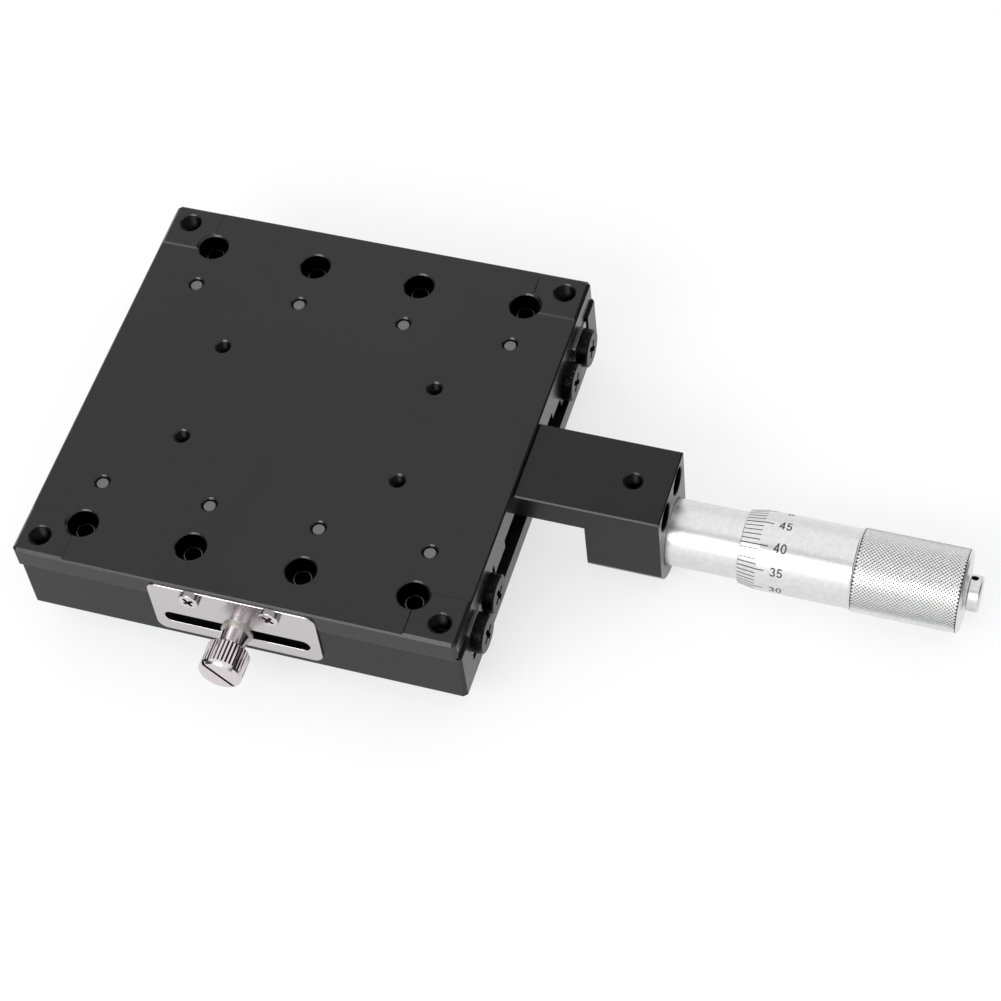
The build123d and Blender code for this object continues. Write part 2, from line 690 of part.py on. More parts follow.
grip = chamfer(grip.edges().group_by(Axis.X)[0], grip_front_chamfer)
grip -= rod_x(grip_x - 1, grip_x + joint_length, 0, mic_z, thimble_r - joint_wall)
grip -= rod_x(grip_x + joint_length - 0.5, cavity_end_x, 0, mic_z, barrel_r + 0.3)
grip -= rod_x(cavity_end_x - 1, grip_end_x + 1, 0, mic_z, tail_r)
save("thimble_grip", grip)
cap = rod_x(grip_end_x, cap_x, 0, mic_z, cap_neck_r)
knob = rod_x(cap_x, cap_end_x, 0, mic_z, cap_r)
cap += chamfer(knob.edges().filter_by(GeomType.CIRCLE), 0.4)
cap -= rod_x(grip_end_x - 1, cap_end_x - 1.6, 0, mic_z, tail_r)
hole = Rot(-22, 0, 0) * Pos(0, 0, cap_r) * Cylinder(cap_hole_r, 2 * cap_hole_depth)
cap -= Pos(cap_x + cap_hole_share * cap_length, 0, mic_z) * hole
save("thimble_cap", cap)
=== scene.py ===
# %% [markdown]
# # A crossed roller linear stage, dressed for a studio picture
#
# The real object is a machinist's positioning stage: two black anodised plates that slide on
# steel rails, a thin steel lock plate with a thumb screw, and a big satin chrome micrometer.
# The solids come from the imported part. This lesson gives them their finishes, and adds what is
# too fine for the solids: the knurl, the engraved scales and the screw threads in the holes.
# The cells run from the frame to the helpers, then the finishes, the new pieces and the studio.

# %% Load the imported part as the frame
import json
import math

import bmesh
import bpy
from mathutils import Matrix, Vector


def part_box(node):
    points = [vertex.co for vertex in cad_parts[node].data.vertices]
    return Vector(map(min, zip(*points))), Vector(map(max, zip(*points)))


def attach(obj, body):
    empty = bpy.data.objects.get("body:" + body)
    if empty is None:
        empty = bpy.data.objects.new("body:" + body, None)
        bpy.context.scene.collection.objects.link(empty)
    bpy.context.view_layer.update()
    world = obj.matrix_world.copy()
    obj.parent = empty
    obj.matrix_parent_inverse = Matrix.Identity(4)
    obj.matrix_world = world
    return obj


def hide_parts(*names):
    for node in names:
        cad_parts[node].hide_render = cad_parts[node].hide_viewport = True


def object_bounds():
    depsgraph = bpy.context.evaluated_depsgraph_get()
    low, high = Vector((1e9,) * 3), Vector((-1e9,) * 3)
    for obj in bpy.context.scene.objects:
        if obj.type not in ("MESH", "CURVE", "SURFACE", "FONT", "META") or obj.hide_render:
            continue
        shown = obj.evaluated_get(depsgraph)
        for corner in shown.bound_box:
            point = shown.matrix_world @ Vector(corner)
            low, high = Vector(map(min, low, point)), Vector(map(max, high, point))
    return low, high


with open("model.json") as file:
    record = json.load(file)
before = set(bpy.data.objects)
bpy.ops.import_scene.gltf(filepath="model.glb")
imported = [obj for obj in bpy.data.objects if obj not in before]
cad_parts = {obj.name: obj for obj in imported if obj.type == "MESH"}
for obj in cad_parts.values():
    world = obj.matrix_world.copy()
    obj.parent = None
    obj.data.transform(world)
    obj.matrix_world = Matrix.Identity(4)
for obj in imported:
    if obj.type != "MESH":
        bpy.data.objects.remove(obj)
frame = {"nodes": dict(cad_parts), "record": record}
bounds_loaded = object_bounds()
nodes = frame["nodes"]
print("nodes:", len(nodes))
for corner, place in zip(("lowest", "highest"), bounds_loaded):
    print(corner, "corner in mm:", [round(v * 1000, 1) for v in place])

# %% [markdown]
# ## Helpers
#
# Colours are written as the sRGB hex codes that a colour picker shows, and Blender wants them
# linear. A material is a tree of nodes, and one function that adds a node with its settings and
# links keeps each tree short enough to read. Lengths are in metres, so a millimetre has a name.

# %% Colour, nodes and millimetres
MM = 0.001


def linear(hex_code):
    """An sRGB hex colour as linear RGBA."""
    channels = [int(hex_code[i : i + 2], 16) / 255 for i in (0, 2, 4)]
    return [c / 12.92 if c <= 0.04045 else ((c + 0.055) / 1.055) ** 2.4 for c in channels] + [1.0]


def add(tree, kind, settings=None, links=None):
    """Adds one node. settings are its properties and socket values, links feed its sockets."""
    node = tree.nodes.new(kind)
    for name, value in (settings or {}).items():
        if isinstance(name, int) or name in node.inputs:
            node.inputs[name].default_value = value
        else:
            setattr(node, name, value)
    for name, socket in (links or {}).items():
        tree.links.new(socket, node.inputs[name])
    return node


def finish(name, colour, metallic, roughness, settings=None):
    """A new material with its shader's own values. Returns the material, its tree and the shader."""
    material = bpy.data.materials.new(name)
    material.use_nodes = True
    tree = material.node_tree
    shader = tree.nodes["Principled BSDF"]
    shader.inputs["Base Color"].default_value = linear(colour)
    shader.inputs["Metallic"].default_value = metallic
    shader.inputs["Roughness"].default_value = roughness
    for socket, value in (settings or {}).items():
        shader.inputs[socket].default_value = value
    return material, tree, shader


def per_mm(size_mm):
    """The texture scale at which a pattern repeats every size_mm, in coordinates of metres."""
    return 1 / (size_mm * MM)


def span(from_min, from_max, to_min, to_max):
    """The settings of a node that maps one range of values to another."""
    return {"From Min": from_min, "From Max": from_max, "To Min": to_min, "To Max": to_max}


def wear(material, names):
    """Gives these CAD nodes a finish."""
    for name in names:
        for slot in nodes[name].material_slots:
            slot.material = material
    print(material.name, "on", ", ".join(names))


print("helpers ready, 1 mm is", MM, "m")

# %% [markdown]
# ## Masks from position
#
# Little light comes back out of the inside of a small hole, so it looks nearly black, darker than
# its open faces. The same holds for a screw's recess and for the valleys between fine ribs. Here
# that shade is painted into the colour. Each such place is found from the object's own
# coordinates: how far a point lies from a line, or whether it lies in a box. A mask is 1 there and
# 0 elsewhere, and swaps the finish's colour for that of a bare metal, mostly a very dark one as
# painted shade, and in a few places a lighter one as a painted highlight. The roughness stays the
# finish's own. A dark metal has no clear second reflection on top, so it stays dark where dyed
# film would mirror the sky.

# %% Masks from position
X, Y, Z = range(3)
ALONG_X, ALONG_Y, ALONG_Z = (1, 0, 0), (0, 1, 0), (0, 0, 1)
FAR = 1.0  # metres, beyond the whole stage on every side
MIX_FROM, MIX_TO, MIX_RESULT = 6, 7, 2  # the colour sockets of the mix node


def coordinates(tree, centre=(0, 0, 0), folded=False):
    """The object's own coordinates seen from a centre. Folded makes them all positive."""
    place = add(tree, "ShaderNodeTexCoord").outputs["Object"]
    seen = add(tree, "ShaderNodeVectorMath", {"operation": "SUBTRACT", 1: centre}, {0: place})
    if folded:
        seen = add(tree, "ShaderNodeVectorMath", {"operation": "ABSOLUTE"}, {0: seen.outputs["Vector"]})
    return seen.outputs["Vector"]


def line_distance(tree, vector, point, direction):
    """How far a place lies from a line through the point. The direction has length 1."""
    seen = add(tree, "ShaderNodeVectorMath", {"operation": "SUBTRACT", 1: tuple(point)}, {0: vector})
    crossed = {"operation": "CROSS_PRODUCT", 1: direction}
    across = add(tree, "ShaderNodeVectorMath", crossed, {0: seen.outputs["Vector"]})
    length = add(tree, "ShaderNodeVectorMath", {"operation": "LENGTH"}, {0: across.outputs["Vector"]})
    return length.outputs["Value"]


def below(tree, value, limit):
    """1 where the value is under the limit, else 0."""
    return add(tree, "ShaderNodeMath", {"operation": "LESS_THAN", 1: limit}, {0: value}).outputs["Value"]


def both(tree, one, other):
    """1 where both masks are 1."""
    return add(tree, "ShaderNodeMath", {"operation": "MINIMUM"}, {0: one, 1: other}).outputs["Value"]


def either(tree, one, other):
    """1 where one of the masks is 1. With other values, the larger of the two."""
    return add(tree, "ShaderNodeMath", {"operation": "MAXIMUM"}, {0: one, 1: other}).outputs["Value"]


def near_line(tree, vector, point, direction, radius):
    """1 where a place lies within the radius of a line, else 0."""
    return below(tree, line_distance(tree, vector, point, direction), radius)


def in_box(tree, vector, low, high):
    """1 where a place lies between the two corners, else 0."""
    middle = [(a + b) / 2 for a, b in zip(low, high)]
    half = [(b - a) / 2 for a, b in zip(low, high)]
    seen = add(tree, "ShaderNodeVectorMath", {"operation": "SUBTRACT", 1: middle}, {0: vector})
    share = add(tree, "ShaderNodeVectorMath", {"operation": "DIVIDE", 1: half}, {0: seen.outputs["Vector"]})
    size = add(tree, "ShaderNodeVectorMath", {"operation": "ABSOLUTE"}, {0: share.outputs["Vector"]})
    parts = add(tree, "ShaderNodeSeparateXYZ", links={"Vector": size.outputs["Vector"]})
    most = either(tree, either(tree, parts.outputs["X"], parts.outputs["Y"]), parts.outputs["Z"])
    return below(tree, most, 1.0)


def slab(tree, vector, axis, low=-FAR, high=FAR):
    """1 where a place lies between two values on one axis, else 0."""
    low_corner, high_corner = [-FAR] * 3, [FAR] * 3
    low_corner[axis], high_corner[axis] = low, high
    return in_box(tree, vector, low_corner, high_corner)


def recolour(material, mask, hex_code):
    """Swaps the finish for a bare metal of this shade where the mask is 1. The roughness stays."""
    tree = material.node_tree
    shader = tree.nodes["Principled BSDF"]
    base = shader.inputs["Base Color"]
    shades = {"data_type": "RGBA", MIX_FROM: list(base.default_value), MIX_TO: linear(hex_code)}
    mix = add(tree, "ShaderNodeMix", shades, {0: mask})
    if base.is_linked:
        tree.links.new(base.links[0].from_socket, mix.inputs[MIX_FROM])
    tree.links.new(mix.outputs[MIX_RESULT], base)
    if shader.inputs["Metallic"].default_value < 1 and not shader.inputs["Metallic"].is_linked:
        tree.links.new(mask, shader.inputs["Metallic"])


plate_low, plate_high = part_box("table_plate")
table_middle = (plate_low + plate_high) / 2
print("table middle in mm:", [round(v / MM, 2) for v in table_middle])

# %% [markdown]
# ## Black anodised aluminium
#
# The plates, the base and the bracket are milled aluminium, then dipped so that a thin oxide film
# grows and takes up black dye. The eye sees the film: nearly black, with a soft sheen that grows
# at a low angle, a fine etched grain, and a faint trace of the milling cutter. A dyed film is not
# a bare metal, so it is a dark dielectric. Solid aluminium oxide has an IOR of 1.76, but the film
# is full of fine pores, so the three parts use 1.3 to 1.4, chosen by how bright their faces look.
# The grain and the cutter's tracks go into the bump, drawn coarser than real, and slow clouds
# change the shade and the gloss a little over a whole face.

# %% Black anodised aluminium
ETCH_GRAIN = 0.25  # mm, drawn about four times as coarse as real so that it shows
CLOUD_SIZE = 45  # mm across a slow change of shade and gloss
CUTTER_RADIAN = 0.8  # mm in one radian of the wave, so the tracks are 5 mm apart, coarser than real
WAVE_FACTOR = 20  # the wave node multiplies its coordinates by this
FILM_GLOSSY, FILM_DULL = 0.19, 0.27  # the film's roughness wanders between these


def black_anodised(name, track_axis, ior):
    """A dyed oxide film. The cutter's tracks follow each other along track_axis."""
    material, tree, shader = finish(name, "101011", 0.0, 0.22, {"IOR": ior})
    at = {"Vector": add(tree, "ShaderNodeTexCoord").outputs["Object"]}
    grain = add(tree, "ShaderNodeTexNoise", {"Scale": per_mm(ETCH_GRAIN), "Detail": 2.0, "Roughness": 0.6}, at)
    clouds = {"Scale": per_mm(CLOUD_SIZE), "Detail": 4.0, "Roughness": 0.55}
    cloud = add(tree, "ShaderNodeTexNoise", clouds, at).outputs["Fac"]
    tint = add(tree, "ShaderNodeValToRGB", links={"Fac": cloud})
    darker, lighter = tint.color_ramp.elements
    darker.position, lighter.position = 0.3, 0.7
    darker.color, lighter.color = linear("0d0d0e"), linear("141415")
    tree.links.new(tint.outputs["Color"], shader.inputs["Base Color"])
    gloss = add(tree, "ShaderNodeMapRange", {"To Min": FILM_GLOSSY, "To Max": FILM_DULL}, {"Value": cloud})
    tree.links.new(gloss.outputs["Result"], shader.inputs["Roughness"])
    bands = {"wave_type": "BANDS", "bands_direction": track_axis, "Distortion": 1.5, "Detail": 2.0}
    tracks = add(tree, "ShaderNodeTexWave", bands | {"Scale": per_mm(CUTTER_RADIAN) / WAVE_FACTOR}, at)
    heights = {"A": grain.outputs["Fac"], "B": tracks.outputs["Fac"]}
    height = add(tree, "ShaderNodeMix", {"Factor": 0.25}, heights).outputs["Result"]
    bump = add(tree, "ShaderNodeBump", {"Strength": 0.08, "Distance": 0.01 * MM}, {"Height": height})
    tree.links.new(bump.outputs["Normal"], shader.inputs["Normal"])
    return material


anodised_top = black_anodised("black_anodised_aluminium_table", "Y", 1.4)
anodised_base = black_anodised("black_anodised_aluminium_base", "X", 1.3)
anodised_bracket = black_anodised("black_anodised_aluminium_bracket", "X", 1.33)
wear(anodised_top, ["table_plate"])
wear(anodised_base, ["base_plate"])
wear(anodised_bracket, ["bracket"])

# %% [markdown]
# ## Painted shade inside the holes
#
# The holes are drilled before the parts are anodised, and little light comes back out of them.
# Their insides get painted shade, a near black metal. In the table one box does for all of them:
# it keeps off the plate's sides and its top, so what is left in it is the walls of the holes, and
# the underside, which gets the same painted shade. The counterbores' shoulders get a painted
# highlight, a thin grey ring. The bracket's masks are round, one for the clamp screw's hole, one
# for the two screw heads' holes and one for the barrel's bore. The base has a milled groove, which
# is seen through the lock plate's slot, and its walls get a painted grey shade.

# %% Painted shade inside the holes
HOLE_PAINTED_SHADE, SHOULDER_PAINTED_HIGHLIGHT, GROOVE_PAINTED_SHADE = "060606", "4a4a4a", "505050"
SIDE_MARGIN = 1.6 * MM  # the box keeps this far from the plate's own sides
TOP_MARGIN = 0.45 * MM  # and this far under its top, below the holes' bevelled mouths
PAD_RISE = 0.4 * MM  # how far the corner pads stand over the top
hole_low = [plate_low[X] + SIDE_MARGIN, plate_low[Y] + SIDE_MARGIN, plate_low[Z] - MM]
hole_high = [plate_high[X] - SIDE_MARGIN, plate_high[Y] - SIDE_MARGIN, plate_high[Z] - PAD_RISE - TOP_MARGIN]
tree = anodised_top.node_tree
# Painted shade: the walls of the table's holes and its underside turn a near black metal.
recolour(anodised_top, in_box(tree, coordinates(tree), hole_low, hole_high), HOLE_PAINTED_SHADE)

HOLE_PITCH = 31.25 * MM
ACCESS_Y = 49.7 * MM
ACCESS_DEPTH = 4 * MM
RING_R = 2.5 * MM  # the ring reaches from the bolt's hole to here
RING_HALF = 0.1 * MM
step_z = plate_high[Z] - PAD_RISE - ACCESS_DEPTH  # the height of the shoulders
# Four holes in a row lie at 0.5 and 1.5 pitches from the middle. Folding twice makes them one.
folded = coordinates(tree, (table_middle[X], 0, 0), folded=True)
twice = add(tree, "ShaderNodeVectorMath", {"operation": "SUBTRACT", 1: (HOLE_PITCH, 0, 0)}, {0: folded})
twice = add(tree, "ShaderNodeVectorMath", {"operation": "ABSOLUTE"}, {0: twice.outputs["Vector"]})
ring = near_line(tree, twice.outputs["Vector"], (HOLE_PITCH / 2, ACCESS_Y, 0), ALONG_Z, RING_R)
at_step = slab(tree, coordinates(tree), Z, step_z - RING_HALF, step_z + RING_HALF)
# Painted highlight: a thin grey ring on the counterbores' shoulders, as if they caught light.
recolour(anodised_top, both(tree, ring, at_step), SHOULDER_PAINTED_HIGHLIGHT)

M4_HEAD_R = 3.5 * MM
CLAMP_HOLE_R = 2.62 * MM
HEAD_HOLE_R = 4.1 * MM
BORE_MARGIN = 0.4 * MM
TOP_SKIN, END_SKIN = 0.4 * MM, 0.35 * MM  # the open faces stay out by this much
bracket_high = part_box("bracket")[1]
clamp_low, clamp_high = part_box("clamp_screw")
clamp_middle = (clamp_low + clamp_high) / 2
head_low, head_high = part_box("bracket_screws")
head_z = (head_low[Z] + head_high[Z]) / 2
head_y = (head_high[Y] - head_low[Y]) / 2 - M4_HEAD_R
barrel_low, barrel_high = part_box("micrometer_barrel")
BARREL_R = (barrel_high[Y] - barrel_low[Y]) / 2
tree = anodised_bracket.node_tree
clamp_hole = near_line(tree, coordinates(tree), clamp_middle, ALONG_Z, CLAMP_HOLE_R)
under_top = slab(tree, coordinates(tree), Z, high=bracket_high[Z] - TOP_SKIN)
head_hole = near_line(tree, coordinates(tree, folded=True), (0, head_y, head_z), ALONG_X, HEAD_HOLE_R)
inside_end = slab(tree, coordinates(tree), X, high=bracket_high[X] - END_SKIN)
holes = either(tree, both(tree, clamp_hole, under_top), both(tree, head_hole, inside_end))
barrel_middle = (barrel_low + barrel_high) / 2
bore = near_line(tree, coordinates(tree), barrel_middle, ALONG_X, BARREL_R + BORE_MARGIN)
# Painted shade in the clamp screw's hole, the screw heads' holes and the gap round the barrel.
recolour(anodised_bracket, either(tree, holes, bore), HOLE_PAINTED_SHADE)

GROOVE_HALF = 30 * MM
GROOVE_LOW, GROOVE_TOP = 4 * MM, 13 * MM
GROOVE_FROM, GROOVE_TO = 0.12 * MM, 3.5 * MM  # behind the base's front
base_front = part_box("base_plate")[0][Y]
tree = anodised_base.node_tree
groove_low = [-GROOVE_HALF, base_front + GROOVE_FROM, GROOVE_LOW]
groove_high = [GROOVE_HALF, base_front + GROOVE_TO, GROOVE_TOP]
# Painted shade: the groove's walls turn a grey metal, which sets how the shaded groove looks.
recolour(anodised_base, in_box(tree, coordinates(tree), groove_low, groove_high), GROOVE_PAINTED_SHADE)
print("bracket screws at y", round(head_y / MM, 2), "z", round(head_z / MM, 2), "mm")

# %% [markdown]
# ## Ground and lapped steel
#
# The rails and the rollers are hardened bearing steel, ground along their length. Grinding leaves
# fine scratches one way, which stretch the highlight. A noise squeezed along one axis gives them.
# The lock plate is punched from brushed stainless sheet, and the walls of its slot get painted shade, a dark
# grey metal.

# %% Steel finishes
GRIND_WIDTH = 0.12  # mm between grinding scratches, drawn coarser than real
SCRATCHED_ALONG_X = (0.03, 1.0, 1.0)
NO_WAY = (1.0, 1.0, 1.0)


def brushed(name, colour, roughness, stretch, strength=0.12, anisotropy=0.4):
    """A bare metal with fine scratches along the axis where stretch is small."""
    material, tree, shader = finish(name, colour, 1.0, roughness, {"Anisotropic": anisotropy})
    place = add(tree, "ShaderNodeTexCoord").outputs["Object"]
    squeeze = add(tree, "ShaderNodeMapping", {"Scale": stretch}, {"Vector": place})
    noise = {"Scale": per_mm(GRIND_WIDTH), "Detail": 3.0, "Roughness": 0.6}
    scratches = add(tree, "ShaderNodeTexNoise", noise, {"Vector": squeeze.outputs["Vector"]}).outputs["Fac"]
    rough_span = {"To Min": roughness * 0.75, "To Max": roughness * 1.3}
    rough = add(tree, "ShaderNodeMapRange", rough_span, {"Value": scratches})
    tree.links.new(rough.outputs["Result"], shader.inputs["Roughness"])
    bump = add(tree, "ShaderNodeBump", {"Strength": strength, "Distance": 0.01 * MM}, {"Height": scratches})
    tree.links.new(bump.outputs["Normal"], shader.inputs["Normal"])
    return material


ground_steel = brushed("ground_bearing_steel", "bcbcba", 0.3, SCRATCHED_ALONG_X)
lapped_steel = brushed("lapped_roller_steel", "c4c4c4", 0.15, NO_WAY, 0.05, 0.0)
stainless = brushed("stainless_sheet_brushed", "c4c0c2", 0.24, SCRATCHED_ALONG_X, 0.1)
zinc_grey = brushed("zinc_plated_washer", "b6b6b1", 0.5, NO_WAY, 0.15, 0.0)
turned_steel = brushed("turned_screw_steel", "6e6e6e", 0.4, NO_WAY, 0.15, 0.0)
spring_steel = brushed("drawn_spring_wire", "a5a5a4", 0.3, NO_WAY, 0.1, 0.0)
brass = brushed("rolled_brass_cage", "c39a52", 0.32, SCRATCHED_ALONG_X, 0.1)
wear(ground_steel, ["outer_rail_front", "outer_rail_back", "inner_rail_front", "inner_rail_back"])
wear(lapped_steel, ["rollers_front", "rollers_back", "anvil", "spindle"])
wear(stainless, ["lock_plate"])
wear(zinc_grey, ["lock_washer"])
wear(turned_steel, ["inner_rail_screws"])
wear(spring_steel, ["spring_front", "spring_back", "base_spring_pins", "table_spring_pins"])
wear(brass, ["cage_front", "cage_back", "micrometer_nut"])

SLOT_HALF = 2.1 * MM
SLOT_MARGIN = 0.13 * MM
SLOT_INSET = 1.5 * MM  # the mask ends this far from the plate's ends
FRONT_MARGIN = 0.06 * MM  # it starts behind the plate's front face, which stays bright
lock_low, lock_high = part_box("lock_plate")
thumb_low, thumb_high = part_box("thumb_screw")
LOCK_X, LOCK_Z = (thumb_low[X] + thumb_high[X]) / 2, (thumb_low[Z] + thumb_high[Z]) / 2
tree = stainless.node_tree
slot_low = [lock_low[X] + SLOT_INSET, lock_low[Y] + FRONT_MARGIN, LOCK_Z - SLOT_HALF - SLOT_MARGIN]
slot_high = [lock_high[X] - SLOT_INSET, FAR, LOCK_Z + SLOT_HALF + SLOT_MARGIN]
# Painted shade: the walls of the slot turn a dark grey metal.
recolour(stainless, in_box(tree, coordinates(tree), slot_low, slot_high), "3c3c3c")

# %% [markdown]
# ## Screws
#
# Socket screws are black oxide steel: a thin neutral black that wears through to silver in spots.
# The lock plate's screws and the thumb screw are nickel plated, so they are bright and reflect
# the whole studio, with a warm tint.

# %% Black oxide and nickel
WEAR_SPOT = 0.7  # mm across a worn spot
PLATING_RIPPLE = 0.9  # mm from one wave of the plating to the next


def black_oxide(name, spots_from, spots_to, roughness):
    """Black steel with bare silver spots. More show as the ramp starts lower."""
    material, tree, shader = finish(name, "161616", 1.0, roughness)
    place = add(tree, "ShaderNodeTexCoord").outputs["Object"]
    noise = {"Scale": per_mm(WEAR_SPOT), "Detail": 5.0, "Roughness": 0.7}
    spots = add(tree, "ShaderNodeTexNoise", noise, {"Vector": place}).outputs["Fac"]
    ramp = add(tree, "ShaderNodeValToRGB", links={"Fac": spots})
    black, bare = ramp.color_ramp.elements
    black.position, bare.position = spots_from, spots_to
    black.color, bare.color = linear("161616"), linear("8c8c8a")
    tree.links.new(ramp.outputs["Color"], shader.inputs["Base Color"])
    bump = add(tree, "ShaderNodeBump", {"Strength": 0.2, "Distance": 0.02 * MM}, {"Height": spots})
    tree.links.new(bump.outputs["Normal"], shader.inputs["Normal"])
    return material


def nickel(name, roughness):
    """A bright plating with a faint ripple from the bath."""
    material, tree, shader = finish(name, "d2cbce", 1.0, roughness)
    place = add(tree, "ShaderNodeTexCoord").outputs["Object"]
    waves = add(tree, "ShaderNodeTexNoise", {"Scale": per_mm(PLATING_RIPPLE), "Detail": 3.0}, {"Vector": place})
    height = {"Height": waves.outputs["Fac"]}
    bump = add(tree, "ShaderNodeBump", {"Strength": 0.15, "Distance": 0.03 * MM}, height)
    tree.links.new(bump.outputs["Normal"], shader.inputs["Normal"])
    return material


oxide_screw = black_oxide("black_oxide_socket_screw", 0.62, 0.8, 0.38)
oxide_worn = black_oxide("black_oxide_worn_pan_screw", 0.6, 0.85, 0.34)
bright_nickel = nickel("bright_nickel_plate", 0.14)
nickel_thumb = nickel("bright_nickel_thumb_screw", 0.14)
wear(oxide_screw, ["outer_rail_screws", "bracket_screws", "clamp_screw", "preload_screws"])
wear(bright_nickel, ["lock_plate_screws"])
wear(nickel_thumb, ["thumb_screw"])

# %% [markdown]
# ## Painted shade in recesses and rib valleys
#
# A cross recess traps the light, and so do the thumb screw's slot and the valleys between its
# ribs, so all of these get painted shade. The masks are those of the holes. Screws that stand as
# mirror images of each other share one mask, since folded coordinates bring them to one place.
# The end screws come in two sets at different places, so each set has its own copy of the worn
# finish, which also carries its own painted shade.

# %% Painted shade in recesses and rib valleys
RECESS_PAINTED_SHADE, RIM_PAINTED_SHADE, RIB_PAINTED_SHADE, END_RECESS_PAINTED_SHADE = "2a2829", "8c8889", "3a3638", "020202"
M3_HEAD_R = 2.9 * MM
M3_RECESS_R = 1.95 * MM
M3_RIM_R = 2.72 * MM  # the head's rounded rim starts here
M3_SKIN = 0.12 * MM
heads_low, heads_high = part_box("lock_plate_screws")
heads_middle = (heads_low + heads_high) / 2
screw_x = (heads_high[X] - heads_low[X]) / 2 - M3_HEAD_R
tree = bright_nickel.node_tree
folded = coordinates(tree, (heads_middle[X], 0, 0), folded=True)
from_axis = line_distance(tree, folded, (screw_x, 0, heads_middle[Z]), ALONG_Y)
recess = below(tree, from_axis, M3_RECESS_R)
behind_face = slab(tree, coordinates(tree), Y, low=heads_low[Y] + M3_SKIN)
# Painted shade in the cross recesses of the lock plate's screws.
recolour(bright_nickel, both(tree, recess, behind_face), RECESS_PAINTED_SHADE)
# Painted shade on the heads' rounded rims, which turn darker than their faces.
inward = add(tree, "ShaderNodeMath", {"operation": "MULTIPLY", 1: -1.0}, {0: from_axis}).outputs["Value"]
recolour(bright_nickel, below(tree, inward, -M3_RIM_R), RIM_PAINTED_SHADE)

THUMB_R = 6.0 * MM
RIB_DEPTH = 0.35 * MM
VALLEY_SHARE = 0.6  # ribs are dark deeper than this share of their depth
RIBS_FROM, RIBS_TO = 1.2 * MM, 8.0 * MM  # behind the head's front
SLOT_FROM, SLOT_TO = 0.15 * MM, 1.35 * MM
SLOT_SHORT = 0.75 * MM  # the slot's dark part ends this far inside the head
thumb_front = thumb_low[Y]
tree = nickel_thumb.node_tree
from_axis = line_distance(tree, coordinates(tree), (LOCK_X, 0, LOCK_Z), ALONG_Y)
valley = below(tree, from_axis, THUMB_R - VALLEY_SHARE * RIB_DEPTH)
ribbed = slab(tree, coordinates(tree), Y, thumb_front + RIBS_FROM, thumb_front + RIBS_TO)
slot_deep = slab(tree, coordinates(tree), Y, thumb_front + SLOT_FROM, thumb_front + SLOT_TO)
inner = below(tree, from_axis, THUMB_R - SLOT_SHORT)
# Painted shade in the valleys between the ribs and deep in the slot.
recolour(nickel_thumb, either(tree, both(tree, valley, ribbed), both(tree, slot_deep, inner)), RIB_PAINTED_SHADE)

END_RECESS_R = 2.75 * MM
END_HEAD_R = 5.5 * MM
END_SCREW_SKIN = 0.15 * MM
for name in ("base_end_screws", "table_end_screws"):
    ends_low, ends_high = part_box(name)
    ends_middle = (ends_low + ends_high) / 2
    end_y = (ends_high[Y] - ends_low[Y]) / 2 - END_HEAD_R
    end_x = (ends_high[X] - ends_low[X]) / 2
    worn_and_shaded = oxide_worn.copy()
    worn_and_shaded.name = "black_oxide_worn_" + name
    tree = worn_and_shaded.node_tree
    folded = coordinates(tree, (ends_middle[X], 0, 0), folded=True)
    recess = near_line(tree, folded, (0, end_y, ends_middle[Z]), ALONG_X, END_RECESS_R)
    deep = slab(tree, folded, X, high=end_x - END_SCREW_SKIN)
    # Painted shade in the end screws' recesses, on top of the finish's worn spots.
    recolour(worn_and_shaded, both(tree, recess, deep), END_RECESS_PAINTED_SHADE)
    wear(worn_and_shaded, [name])

# %% [markdown]
# ## Satin chrome
#
# Micrometers are plated with chrome over a finely blasted surface, so that the scale doesn't
# glare. It is nearly white, its highlights are wide and soft, and a close look shows a fine grain.
# The end cap has a round hole for a spanner, and its inside gets painted shade, a near black metal.

# %% Satin chrome
SATIN_GRAIN = 0.12  # mm, the blasted grain, drawn coarser than real
MOTTLE = 1.4  # mm across a lighter or darker patch


def satin_chrome(name, roughness, darker, lighter):
    """A chrome whose shade wanders a little between two hex colours, as the blasting leaves it."""
    material, tree, shader = finish(name, lighter, 1.0, roughness)
    at = {"Vector": add(tree, "ShaderNodeTexCoord").outputs["Object"]}
    patches = add(tree, "ShaderNodeTexNoise", {"Scale": per_mm(MOTTLE), "Detail": 4.0, "Roughness": 0.7}, at)
    shade = add(tree, "ShaderNodeValToRGB", links={"Fac": patches.outputs["Fac"]})
    dark_end, light_end = shade.color_ramp.elements
    dark_end.position, light_end.position = 0.35, 0.65
    dark_end.color, light_end.color = linear(darker), linear(lighter)
    tree.links.new(shade.outputs["Color"], shader.inputs["Base Color"])
    grain = add(tree, "ShaderNodeTexNoise", {"Scale": per_mm(SATIN_GRAIN), "Detail": 2.0}, at).outputs["Fac"]
    rough_span = {"To Min": roughness * 0.85, "To Max": roughness * 1.15}
    rough = add(tree, "ShaderNodeMapRange", rough_span, {"Value": grain})
    tree.links.new(rough.outputs["Result"], shader.inputs["Roughness"])
    bump = add(tree, "ShaderNodeBump", {"Strength": 0.1, "Distance": 0.01 * MM}, {"Height": grain})
    tree.links.new(bump.outputs["Normal"], shader.inputs["Normal"])
    return material


chrome_barrel = satin_chrome("satin_chrome_barrel", 0.28, "d2d2d2", "dedede")
chrome_cap = satin_chrome("satin_chrome_cap", 0.3, "c8c8c8", "d8d8d8")
chrome_knurl = satin_chrome("satin_chrome_knurled", 0.3, "dadada", "e4e4e4")
